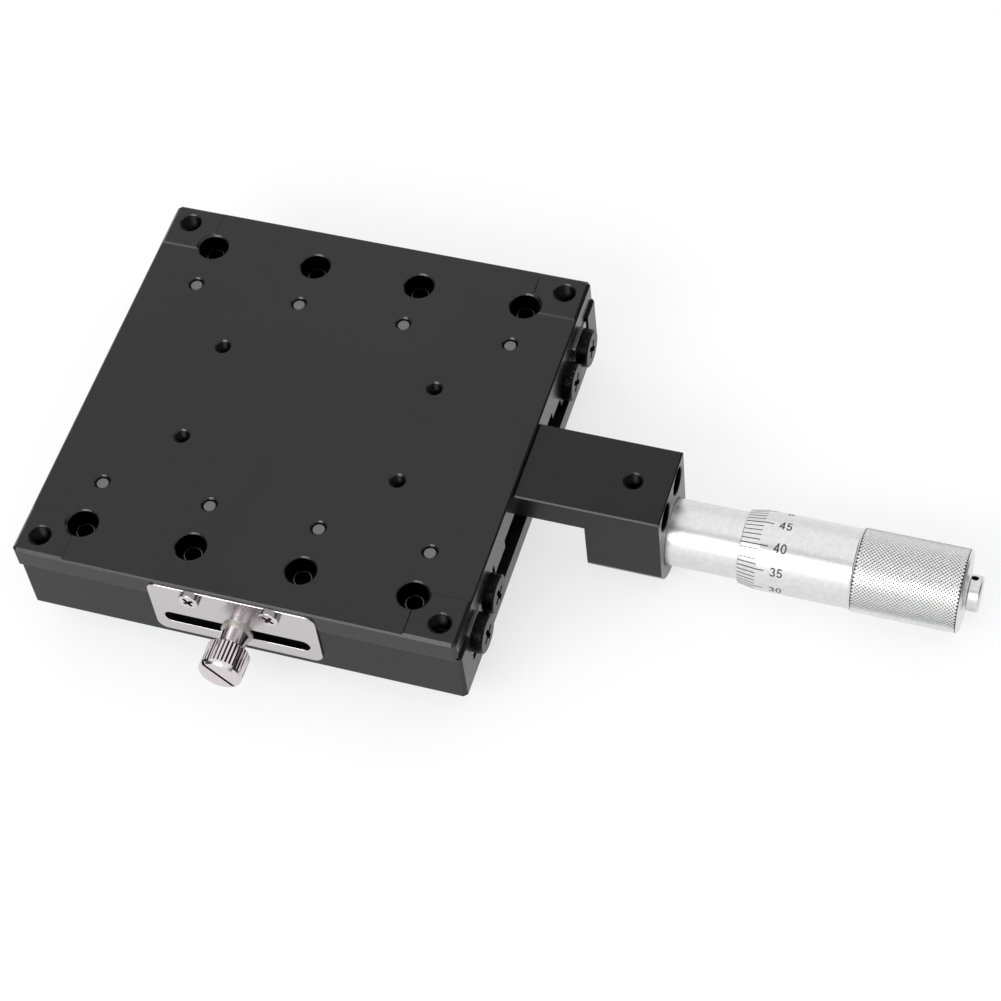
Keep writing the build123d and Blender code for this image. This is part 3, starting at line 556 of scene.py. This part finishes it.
# Painted shade for the knurl's pits: a dark, rough chrome.
pit_painted_shade = satin_chrome("satin_chrome_painted_pit_shade", 0.5, "3c3c3c", "484848")
wear(chrome_barrel, ["micrometer_barrel", "thimble_sleeve"])
wear(chrome_knurl, ["thimble_grip"])
wear(chrome_cap, ["thimble_cap"])

CAP_KNOB = 3.4 * MM  # the length of the cap's knob
HOLE_SHARE = 0.36  # where the spanner hole stands on it
HOLE_LEAN = math.radians(22)  # the spanner hole leans to the back
SPANNER_R = 1.02 * MM
cap_low, cap_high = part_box("thimble_cap")
hole_at = (cap_high[X] - (1 - HOLE_SHARE) * CAP_KNOB, 0, (cap_low[Z] + cap_high[Z]) / 2)
hole_way = (0, math.sin(HOLE_LEAN), math.cos(HOLE_LEAN))
tree = chrome_cap.node_tree
spanner_hole = near_line(tree, coordinates(tree), hole_at, hole_way, SPANNER_R)
upper_half = slab(tree, coordinates(tree), Z, low=hole_at[Z])
# Painted shade inside the spanner hole.
recolour(chrome_cap, both(tree, spanner_hole, upper_half), "050505")
engraving_ink = finish("engraving_ink_black", "161616", 0.0, 0.4)[0]

# %% [markdown]
# ## Building pieces as meshes
#
# A new piece is a list of points and faces, with one finish. It rides on the body that carries it,
# so that it moves with the joints. Everything on the micrometer lies round one axis, so one
# function turns a place along it, a radius and an angle into a point. The angle runs from the back
# of the stage up over the top.

# %% Pieces and the micrometer's axis
sleeve_low, sleeve_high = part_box("thimble_sleeve")
grip_low, grip_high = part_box("thimble_grip")
AXIS_Z = (barrel_low[Z] + barrel_high[Z]) / 2
SLEEVE_X0 = sleeve_low[X]
SLEEVE_R = (sleeve_high[Y] - sleeve_low[Y]) / 2
GRIP_X0, GRIP_X1 = grip_low[X], grip_high[X]
GRIP_R = (grip_high[Y] - grip_low[Y]) / 2
SMALL = 1e-9  # shorter than this is no length at all


def around(x, radius, degrees):
    """A point round the micrometer's axis. 0 degrees is toward the back, 90 is up."""
    a = math.radians(degrees)
    return Vector((x, radius * math.cos(a), AXIS_Z + radius * math.sin(a)))


def tube_faces(rings):
    """The faces between rings of four points, one ring after the other."""
    return [[a[k], a[(k + 1) % 4], b[(k + 1) % 4], b[k]] for a, b in zip(rings, rings[1:]) for k in range(4)]


def new_piece(name, points, faces, material, body):
    """A mesh piece that rides on a body. Points at one place are joined, and faces turn outward."""
    mesh = bpy.data.meshes.new(name)
    mesh.from_pydata([tuple(p) for p in points], [], faces)
    shape = bmesh.new()
    shape.from_mesh(mesh)
    bmesh.ops.remove_doubles(shape, verts=shape.verts, dist=1e-7)
    bmesh.ops.recalc_face_normals(shape, faces=shape.faces)
    shape.to_mesh(mesh)
    shape.free()
    mesh.materials.append(material)
    made = bpy.data.objects.new(name, mesh)
    bpy.context.scene.collection.objects.link(made)
    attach(made, body)
    print(name, len(mesh.polygons), "faces on", body)
    return made


print("in mm: axis height", round(AXIS_Z / MM, 2), "barrel radius", round(BARREL_R / MM, 2))
print("in mm: sleeve from", round(SLEEVE_X0 / MM, 2), "radius", round(SLEEVE_R / MM, 2))

# %% [markdown]
# ## The knurled grip
#
# A knurl is rolled or cut as two families of V grooves that cross and leave small pyramids. Drawn
# as bump it would vanish at the outline, so it is built: each pyramid has four corners where the
# grooves cross, four sides and a wide flat on top, because this knurl is shallow. The pits where
# two grooves cross get painted shade, a dark chrome, and the flats stay bright. Rows of pyramids
# are staggered by half a pitch, and the rest of the grip is turned from a profile, so that the mesh
# is closed.

# %% Knurled grip
KNURL_AROUND = 68
KNURL_PITCH_ABOUT = 1.1 * MM  # the true pitch is the nearest that gives whole rows
KNURL_DEPTH = 0.2 * MM
KNURL_FLAT = 0.6  # the flat's width as a share of the pitch
PIT_SHARE = 0.42  # how far a dark pit reaches along each groove
FRONT_PLAIN, BACK_PLAIN = 0.5 * MM, 0.65 * MM  # the plain rims of the grip
knurl_x0, knurl_x1 = GRIP_X0 + FRONT_PLAIN, GRIP_X1 - BACK_PLAIN
knurl_rows = round((knurl_x1 - knurl_x0) / KNURL_PITCH_ABOUT) * 2
knurl_pitch = 2 * (knurl_x1 - knurl_x0) / knurl_rows
groove_r = GRIP_R - KNURL_DEPTH
step = 360 / KNURL_AROUND


def crossing(row, i):
    """The bottom of the pit where two grooves cross."""
    return around(knurl_x0 + row * knurl_pitch / 2, groove_r, (i + (row % 2) / 2) * step)


points, faces, in_groove = [], [], []


def face_of(*corners, groove=False):
    """Adds one face with its own points. Points that meet are joined later."""
    start = len(points)
    points.extend(corners)
    faces.append(list(range(start, start + len(corners))))
    in_groove.append(groove)


for row in range(1, knurl_rows):
    for i in range(KNURL_AROUND):
        middle_angle = (i + 0.5 + (row % 2) / 2) * step
        middle_x = knurl_x0 + row * knurl_pitch / 2
        up_i = i if row % 2 == 0 else i + 1
        corners = [crossing(row, i), crossing(row - 1, up_i), crossing(row, i + 1), crossing(row + 1, up_i)]
        flat = KNURL_FLAT / 2
        top = [
            around(middle_x, GRIP_R, middle_angle - step * flat),
            around(middle_x - knurl_pitch * flat, GRIP_R, middle_angle),
            around(middle_x, GRIP_R, middle_angle + step * flat),
            around(middle_x + knurl_pitch * flat, GRIP_R, middle_angle),
        ]
        face_of(*top)
        for k in range(4):
            n = (k + 1) % 4
            here, there = corners[k], corners[n]
            along, up = here.lerp(there, PIT_SHARE), here.lerp(top[k], PIT_SHARE)
            back, over = there.lerp(here, PIT_SHARE), there.lerp(top[n], PIT_SHARE)
            face_of(here, along, up, groove=True)
            face_of(there, over, back, groove=True)
            face_of(along, back, over, top[n], top[k], up)
for last_row, next_row in ((0, 1), (knurl_rows, knurl_rows - 1)):
    for i in range(KNURL_AROUND):
        p, q, tip = crossing(last_row, i), crossing(last_row, i + 1), crossing(next_row, i)
        toward_tip, toward_p = [q.lerp(tip, PIT_SHARE), tip.lerp(q, PIT_SHARE)], tip.lerp(p, PIT_SHARE)
        face_of(p, q, *toward_tip, tip, toward_p, p.lerp(tip, PIT_SHARE), groove=True)

sleeve_bore = 10.2 * MM
cavity_r = BARREL_R + 0.3 * MM
stem_r = 3.0 * MM
cavity_end = GRIP_X1 - 4.8 * MM
joint_end = GRIP_X0 + 8.0 * MM
front_profile = [
    (knurl_x0, groove_r),
    (knurl_x0, groove_r - 0.02 * MM),
    (GRIP_X0 + 0.35 * MM, GRIP_R - 0.15 * MM),
    (GRIP_X0, GRIP_R - 0.5 * MM),
    (GRIP_X0, sleeve_bore),
    (joint_end, sleeve_bore),
    (joint_end, cavity_r),
    (cavity_end, cavity_r),
    (cavity_end, stem_r),
]
back_profile = [
    (knurl_x1, groove_r),
    (knurl_x1 + 0.05 * MM, GRIP_R - 0.05 * MM),
    (GRIP_X1 - 0.12 * MM, GRIP_R - 0.5 * MM),
    (GRIP_X1, GRIP_R - 0.6 * MM),
    (GRIP_X1, stem_r),
    (cavity_end, stem_r),
]
for profile in (front_profile, back_profile):
    for (xa, ra), (xb, rb) in zip(profile, profile[1:]):
        for i in range(KNURL_AROUND):
            near, far = i * step, (i + 1) * step
            face_of(around(xa, ra, near), around(xa, ra, far), around(xb, rb, far), around(xb, rb, near))
knurled_grip = new_piece("knurled_grip", points, faces, chrome_knurl, "thimble")
knurled_grip.data.materials.append(pit_painted_shade)
for face, groove in zip(knurled_grip.data.polygons, in_groove):
    face.material_index = 1 if groove else 0
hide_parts("thimble_grip")

# %% [markdown]
# ## The engraved scale of the thimble
#
# The thimble has 50 lines, one for each hundredth of a millimetre, cut in its bevelled front and
# filled with black. Every fifth is longer and numbered. The sleeve's profile is three straight
# stretches, and each line is a thin bar that follows it, a little proud of the chrome so that
# it doesn't flicker.

# %% Graduation lines of the thimble
LINE_PROUD = 0.015 * MM
LINE_DEEP = 0.04 * MM
DIVISIONS = 50
DIVISION = 360 / DIVISIONS
NUMBERED_EACH = 5
LONG_LINE, SHORT_LINE = 7.4 * MM, 5.0 * MM
LONG_WIDTH, SHORT_WIDTH = 0.3 * MM, 0.25 * MM
FORTY = 40
FORTY_AT = 117.0  # degrees round the axis where the 40 stands in the picture
LINE_START = SLEEVE_X0 + 0.16 * MM
BEVEL_END = 5.4  # mm from the sleeve's front
SLEEVE_PROFILE = [(0.0, 9.9), (0.15, 10.05), (BEVEL_END, 10.9), (30.55, 10.9)]  # mm along, mm radius


def sleeve_radius(x):
    """The radius of the sleeve's outside at x."""
    along = (x - SLEEVE_X0) / MM
    for (xa, ra), (xb, rb) in zip(SLEEVE_PROFILE, SLEEVE_PROFILE[1:]):
        if along <= xb:
            return (ra + (rb - ra) * (along - xa) / (xb - xa)) * MM
    return SLEEVE_R


def bar(points, faces, stations, degrees, width, radius_at):
    """A thin bar along the axis through the stations, as a closed box that follows the radius."""
    rings = []
    for x in stations:
        half = math.degrees(width / 2 / radius_at(x))
        over, under = radius_at(x) + LINE_PROUD, radius_at(x) - LINE_DEEP
        rings.append([len(points) + k for k in range(4)])
        points.extend([around(x, over, degrees - half), around(x, over, degrees + half)])
        points.extend([around(x, under, degrees + half), around(x, under, degrees - half)])
    faces.extend(tube_faces(rings))
    faces.extend([rings[0][::-1], rings[-1]])


def thimble_angle(n):
    """The angle of the thimble's line n. Larger numbers stand at smaller angles."""
    return FORTY_AT - (n - FORTY) * DIVISION


points, faces = [], []
for n in range(DIVISIONS):
    numbered = n % NUMBERED_EACH == 0
    stations = [LINE_START, SLEEVE_X0 + BEVEL_END / 2 * MM, LINE_START + (LONG_LINE if numbered else SHORT_LINE)]
    if numbered:
        stations.insert(2, SLEEVE_X0 + BEVEL_END * MM)
    bar(points, faces, stations, thimble_angle(n), LONG_WIDTH if numbered else SHORT_WIDTH, sleeve_radius)
new_piece("thimble_lines", points, faces, engraving_ink, "thimble")

# %% [markdown]
# ## Numbers drawn as strokes
#
# The numbers are cut with one round tool, so all their strokes have one width. Blender's
# own font fills in at this size, so each digit is drawn as a few strokes, arcs and straight runs
# on a grid where its height is 1. A stroke gets a left and a right edge, mitred at the corners,
# and is cut into short runs so that it can bend round the axis.

# %% Numbers drawn as strokes
DIGIT_HEIGHT = 2.65 * MM
DIGIT_WIDTH = 0.58  # as a share of the height
DIGIT_ADVANCE = 0.7  # from one digit's start to the next, as a share of the height
STROKE = 0.14  # the width of a stroke, as a share of the height
NUMBER_X = SLEEVE_X0 + 10.9 * MM
LONGEST_RUN = 0.25 * MM
SHARPEST_MITRE = 0.25  # keeps the corner of a sharp turn from growing into a spike


def arc(cx, cy, rx, ry, start, end, steps=14):
    """Points on an ellipse, from the start angle to the end angle."""
    angles = [math.radians(start + (end - start) * k / steps) for k in range(steps + 1)]
    return [(cx + rx * math.cos(a), cy + ry * math.sin(a)) for a in angles]


DIGITS = {
    "0": [arc(0.29, 0.5, 0.225, 0.44, 0, 360, 28)],
    "1": [[(0.36, 0.0), (0.36, 1.0)], [(0.13, 0.76), (0.27, 0.8), (0.35, 0.93)]],
    "2": [arc(0.29, 0.7, 0.215, 0.24, 170, -28) + [(0.08, 0.1), (0.06, 0.06), (0.54, 0.06)]],
    "3": [arc(0.28, 0.725, 0.19, 0.215, 165, -90), arc(0.28, 0.285, 0.225, 0.225, 90, -165)],
    "4": [[(0.41, 0.94), (0.05, 0.285), (0.57, 0.285)], [(0.41, 0.0), (0.41, 1.0)]],
    "5": [[(0.5, 0.94), (0.15, 0.94), (0.1, 0.5)], arc(0.28, 0.32, 0.225, 0.26, 148, -160)],
}


def divided(line, longest):
    """The same line with no run longer than the longest, so that it can bend round the axis."""
    out = [line[0]]
    for (xa, ya), (xb, yb) in zip(line, line[1:]):
        parts = max(1, math.ceil(math.hypot(xb - xa, yb - ya) / longest))
        out.extend((xa + (xb - xa) * k / parts, ya + (yb - ya) * k / parts) for k in range(1, parts + 1))
    return out


def stroke_sides(line, width):
    """The left and right edge of a stroke, mitred at its corners."""
    closed = math.dist(line[0], line[-1]) < SMALL
    left, right = [], []
    last = len(line) - 1
    for k in range(len(line)):
        before = line[k - 1] if k > 0 else (line[last - 1] if closed else line[0])
        after = line[k + 1] if k < last else (line[1] if closed else line[last])
        ways = []
        for a, b in ((before, line[k]), (line[k], after)):
            length = math.dist(a, b)
            if length > 0:
                ways.append(((b[0] - a[0]) / length, (b[1] - a[1]) / length))
        nx = -sum(w[1] for w in ways) / len(ways)
        ny = sum(w[0] for w in ways) / len(ways)
        spread = width / 2 / max(nx * nx + ny * ny, SHARPEST_MITRE)
        left.append((line[k][0] + nx * spread, line[k][1] + ny * spread))
        right.append((line[k][0] - nx * spread, line[k][1] - ny * spread))
    return left, right


def wrapped_numbers(name, entries, height, radius, body):
    """Each entry is a text, its middle along the axis and its angle. Tops point to smaller angles."""
    points, faces = [], []
    top, bottom = radius + LINE_PROUD, radius - LINE_DEEP
    for text, x, degrees in entries:
        wide = (len(text) - 1) * DIGIT_ADVANCE + DIGIT_WIDTH
        for place, digit in enumerate(text):
            for line in DIGITS[digit]:
                moved = [(px + place * DIGIT_ADVANCE - wide / 2, py - 0.5) for px, py in line]
                rings = []
                for left, right in zip(*stroke_sides(divided(moved, LONGEST_RUN / height), STROKE)):
                    rings.append([len(points) + k for k in range(4)])
                    for (u, v), level in ((left, top), (right, top), (right, bottom), (left, bottom)):
                        turned = degrees - math.degrees(v * height / radius)
                        points.append(around(x + u * height, level, turned))
                faces.extend(tube_faces(rings))
                if math.dist(line[0], line[-1]) > SMALL:
                    faces.extend([rings[0][::-1], rings[-1]])
    return new_piece(name, points, faces, engraving_ink, body)


entries = [(str(n), NUMBER_X, thimble_angle(n)) for n in range(0, DIVISIONS, NUMBERED_EACH)]
wrapped_numbers("thimble_numbers", entries, DIGIT_HEIGHT, SLEEVE_R, "thimble")

# %% [markdown]
# ## The main scale of the barrel
#
# The barrel's own scale faces the back of the stage, so the picture doesn't show it. It is a long
# line with a mark for each millimetre on the numbered side and one for each half between them on
# the other. What the thimble's edge uncovers must agree with the thimble: its number over the
# long line is about 6 hundredths, so the edge stands 13.06 mm from the zero.

# %% Main scale on the barrel
SCALE_AT = 0.0  # degrees: it faces the back
SCALE_MM = 25  # the scale's length in mm, the whole travel
READING = 13.0625 * MM
LINE_WIDTH, MARK_WIDTH = 0.2 * MM, 0.16 * MM
MARK_START = 0.5  # degrees from the long line, for all marks
LONG_MARK, SHORT_MARK = 16, 11  # degrees where they end
NUMBER_ANGLE = 25  # degrees from the long line to the numbers' middle
BARREL_DIGIT = 2.2 * MM
BAR_CUTS = 8
LINE_BEFORE, LINE_AFTER = 0.8, 0.6  # mm that the long line runs past the scale
zero_x = SLEEVE_X0 - READING


def barrel_radius(x):
    """The barrel is a plain cylinder, so its radius is the same at every x."""
    return BARREL_R


def cross_bar(points, faces, x, from_degrees, to_degrees, width):
    """A thin bar round the barrel."""
    rings = []
    over, under = BARREL_R + LINE_PROUD, BARREL_R - LINE_DEEP
    for k in range(BAR_CUTS + 1):
        a = from_degrees + (to_degrees - from_degrees) * k / BAR_CUTS
        rings.append([len(points) + j for j in range(4)])
        points.extend([around(x - width / 2, over, a), around(x + width / 2, over, a)])
        points.extend([around(x + width / 2, under, a), around(x - width / 2, under, a)])
    faces.extend(tube_faces(rings))
    faces.extend([rings[0][::-1], rings[-1]])


points, faces = [], []
long_line = [zero_x - LINE_BEFORE * MM, zero_x + (SCALE_MM + LINE_AFTER) * MM]
bar(points, faces, long_line, SCALE_AT, LINE_WIDTH, barrel_radius)
for k in range(SCALE_MM + 1):
    end = LONG_MARK if k % NUMBERED_EACH == 0 else SHORT_MARK
    cross_bar(points, faces, zero_x + k * MM, SCALE_AT - MARK_START, SCALE_AT - end, MARK_WIDTH)
    if k < SCALE_MM:
        half_x = zero_x + (k + 0.5) * MM
        cross_bar(points, faces, half_x, SCALE_AT + MARK_START, SCALE_AT + SHORT_MARK, MARK_WIDTH)
new_piece("barrel_lines", points, faces, engraving_ink, "table")
entries = [(str(k), zero_x + k * MM, SCALE_AT - NUMBER_ANGLE) for k in range(0, SCALE_MM + 1, NUMBERED_EACH)]
wrapped_numbers("barrel_numbers", entries, BARREL_DIGIT, BARREL_R, "table")

# %% [markdown]
# ## Screw threads in the tapped holes
#
# A tapped hole shows a few bright glints where its thread catches the light. The thread is a
# groove that climbs by one pitch in each turn, so each ring of points is shifted along the hole as
# it goes round. The liner is closed at the back, inside the plate, so that it's a solid. Its
# finish is black anodising made a very dark metal, which paints in the shade of the hole: in a
# lighter one the whole liner lit up, and looked like a dome.

# %% Threads
THREAD_SIDES = 28
THREAD_DEPTH = 0.54  # the depth of a metric thread as a share of its pitch
END_DEPTH = 0.25  # where a thread is cut off, as a share of its depth
BACK_WALL = 0.03 * MM  # the liner's back lies this far outside the thread
TAPPED = {  # radius, pitch, and how far under the mount the thread starts and ends, in mm
    "table_tapped_holes": (2.0, 0.7, 0.42, 8.75),
    "table_corner_holes": (3.0, 1.0, 0.32, 6.75),
}
M5_R, M5_PITCH = 2.5 * MM, 0.8 * MM
M5_MOUTH, M5_END = 0.37 * MM, 0.05 * MM  # under the bracket's top, and over the clamp screw


def thread(points, faces, x, y, top, bottom, major, pitch):
    """A threaded liner in a vertical hole."""
    minor = major - THREAD_DEPTH * pitch
    halves = int(2 * (top - bottom) / pitch) + 3
    columns = []
    for i in range(THREAD_SIDES + 1):
        turn = i / THREAD_SIDES
        a = 2 * math.pi * turn
        outline = []
        for k in range(-2, halves + 1):
            z = min(max(top - pitch * (k / 2 + turn), bottom), top)
            phase = ((top - z) / pitch - turn) % 1
            inside = bottom < z < top
            out = abs(2 * phase - 1) if inside else 1 - END_DEPTH
            outline.append((minor + (major - minor) * out, z))
        outline.extend([(major + BACK_WALL, bottom), (major + BACK_WALL, top)])
        start = len(points)
        points.extend((x + radius * math.cos(a), y + radius * math.sin(a), z) for radius, z in outline)
        columns.append(list(range(start, len(points))) + [start])
    for one, other in zip(columns, columns[1:]):
        for k in range(len(one) - 1):
            faces.append([one[k], one[k + 1], other[k + 1], other[k]])


def pattern(name):
    """The places of a rectangular hole pattern's four holes, in metres."""
    mount = record_mounts[name]
    x, y, z = mount["pos_m"]
    dx, dy = mount["dims"]["spacing_x_mm"] * MM / 2, mount["dims"]["spacing_y_mm"] * MM / 2
    return [(x + sx * dx, y + sy * dy, z) for sx in (-1, 1) for sy in (-1, 1)]


thread_black_and_shaded = finish("black_anodised_thread_painted_shade", "121212", 1.0, 0.3)[0]
record_mounts = {m["name"]: m for m in frame["record"]["mounts"]}
points, faces = [], []
for name, (radius, pitch, start, end) in TAPPED.items():
    for x, y, z in pattern(name):
        thread(points, faces, x, y, z - start * MM, z - end * MM, radius * MM, pitch * MM)
new_piece("table_threads", points, faces, thread_black_and_shaded, "table")
points, faces = [], []
thread_top, thread_end = bracket_high[Z] - M5_MOUTH, clamp_high[Z] + M5_END
thread(points, faces, clamp_middle[X], clamp_middle[Y], thread_top, thread_end, M5_R, M5_PITCH)
new_piece("bracket_thread", points, faces, thread_black_and_shaded, "table")

# %% [markdown]
# ## The studio
#
# A white paper floor, a bright even sky and one soft box of 0.9 by 0.4 m in front. Black anodised
# film and chrome show mostly what they reflect, so the sky is the light: evenly bright above, a
# little brighter in front for the chrome, a little dimmer at the far back, and dark low down at
# the left and right, which is what makes the right hand bevels black. A narrow dark gap overhead,
# in the front half, gives the chrome a soft, slightly darker streak. The floor glows a little, as
# paper lit from behind does, so that it stays nearly white under the shadow.

# %% Floor, sky and light
FLOOR_REACH = 4.0
FLOOR_GAP = 0.2 * MM
FLOOR_GLOW = 0.68
scene = bpy.context.scene
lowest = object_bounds()[0][Z]
signs = [(-1, -1), (1, -1), (1, 1), (-1, 1)]
floor_mesh = bpy.data.meshes.new("floor")
floor_mesh.from_pydata([(x * FLOOR_REACH, y * FLOOR_REACH, 0) for x, y in signs], [], [(0, 1, 2, 3)])
floor = bpy.data.objects.new("floor", floor_mesh)
floor.location.z = lowest - FLOOR_GAP
scene.collection.objects.link(floor)
glow = {"Emission Color": linear("ffffff"), "Emission Strength": FLOOR_GLOW}
floor_mesh.materials.append(finish("floor_white_paper", "898989", 0.0, 0.9, glow)[0])

SKY = 1.16
FRONT_SKY = 1.2
BACK_LOW_SKY = 1.0
SIDE_SKY = 0.06
GAP_SKY = 0.3  # in the dark gap overhead
GAP_HEIGHT = 0.9  # the upward part of a direction into the gap
world = bpy.data.worlds.new("studio_sky")
scene.world = world
world.use_nodes = True
sky = world.node_tree
way = add(sky, "ShaderNodeSeparateXYZ", links={"Vector": add(sky, "ShaderNodeTexCoord").outputs["Generated"]})
side, ahead, upward = way.outputs["X"], way.outputs["Y"], way.outputs["Z"]
front = add(sky, "ShaderNodeMapRange", span(-0.2, -0.4, SKY, FRONT_SKY), {"Value": ahead})
high_up = add(sky, "ShaderNodeMapRange", span(0.3, 0.45, 0.0, 1.0), {"Value": upward})
side_way = add(sky, "ShaderNodeMath", {"operation": "ABSOLUTE"}, {0: side})
off_sides = add(sky, "ShaderNodeMapRange", span(0.4, 0.6, 1.0, 0.0), {"Value": side_way.outputs["Value"]})
lit = either(sky, high_up.outputs["Result"], off_sides.outputs["Result"])
behind = add(sky, "ShaderNodeMapRange", span(0.75, 0.9, 1.0, BACK_LOW_SKY / SKY), {"Value": ahead})
shades = {0: front.outputs["Result"], 1: behind.outputs["Result"]}
bright = add(sky, "ShaderNodeMath", {"operation": "MULTIPLY"}, shades)
off_gap = add(sky, "ShaderNodeMath", {"operation": "SUBTRACT", 1: GAP_HEIGHT}, {0: upward})
off_gap = add(sky, "ShaderNodeMath", {"operation": "ABSOLUTE"}, {0: off_gap.outputs["Value"]})
gap = add(sky, "ShaderNodeMapRange", span(0.025, 0.05, GAP_SKY, 1.0), {"Value": off_gap.outputs["Value"]})
not_front = add(sky, "ShaderNodeMapRange", span(-0.3, -0.2, 0.0, 1.0), {"Value": ahead})
gap = either(sky, gap.outputs["Result"], not_front.outputs["Result"])
bright = add(sky, "ShaderNodeMath", {"operation": "MULTIPLY"}, {0: bright.outputs["Value"], 1: gap})
level = add(sky, "ShaderNodeMapRange", {"To Min": SIDE_SKY}, {"Value": lit, "To Max": bright.outputs["Value"]})
sky.links.new(level.outputs["Result"], sky.nodes["Background"].inputs["Strength"])
sky.nodes["Background"].inputs["Color"].default_value = linear("ffffff")


def soft_box(name, place, target, width, height, radiance):
    """A lamp whose power gives the wanted brightness of its surface."""
    light = bpy.data.lights.new(name, "AREA")
    light.shape, light.size, light.size_y = "RECTANGLE", width, height
    light.energy = radiance * math.pi * width * height
    lamp = bpy.data.objects.new(name, light)
    lamp.location = place
    lamp.rotation_euler = (Vector(target) - Vector(place)).to_track_quat("-Z", "Y").to_euler()
    scene.collection.objects.link(lamp)


soft_box("front_box", (-0.3, -0.95, 0.75), (0.03, 0, 0), 0.9, 0.4, 8)
scene.view_settings.view_transform = "Standard"
print("floor at", round(floor.location.z / MM, 2), "mm")

# %% [markdown]
# ## The camera
#
# The picture was taken from the front and above, with the camera leaning a little to one side.
# Its place, aim and lean come from matching the corners and holes of the real stage.

# %% Camera
PHOTO_WIDTH = 1001
FOCAL_PIXELS = 2722.37
CAMERA_AT = (0.229737, -0.399768, 0.611972)
AIM = Vector((0.0555262, -0.0071172, 0.012))
LEAN = math.radians(8.1077)
camera_data = bpy.data.cameras.new("camera")
camera_data.sensor_width = 36.0
camera_data.lens = FOCAL_PIXELS / PHOTO_WIDTH * camera_data.sensor_width
camera_data.clip_start, camera_data.clip_end = 0.01, 20
camera = bpy.data.objects.new("camera", camera_data)
scene.collection.objects.link(camera)
camera.location = CAMERA_AT
look = (AIM - camera.location).to_track_quat("-Z", "Y").to_matrix()
right, up, back = look.col[0].copy(), look.col[1].copy(), look.col[2].copy()
up_leaned = up * math.cos(LEAN) + right * math.sin(LEAN)
right_leaned = up_leaned.cross(back)
turned = look.copy()
turned.col[0], turned.col[1], turned.col[2] = right_leaned, up_leaned, back
camera.rotation_euler = turned.to_euler()
scene.camera = camera
print("camera at", [round(v, 3) for v in camera.location])
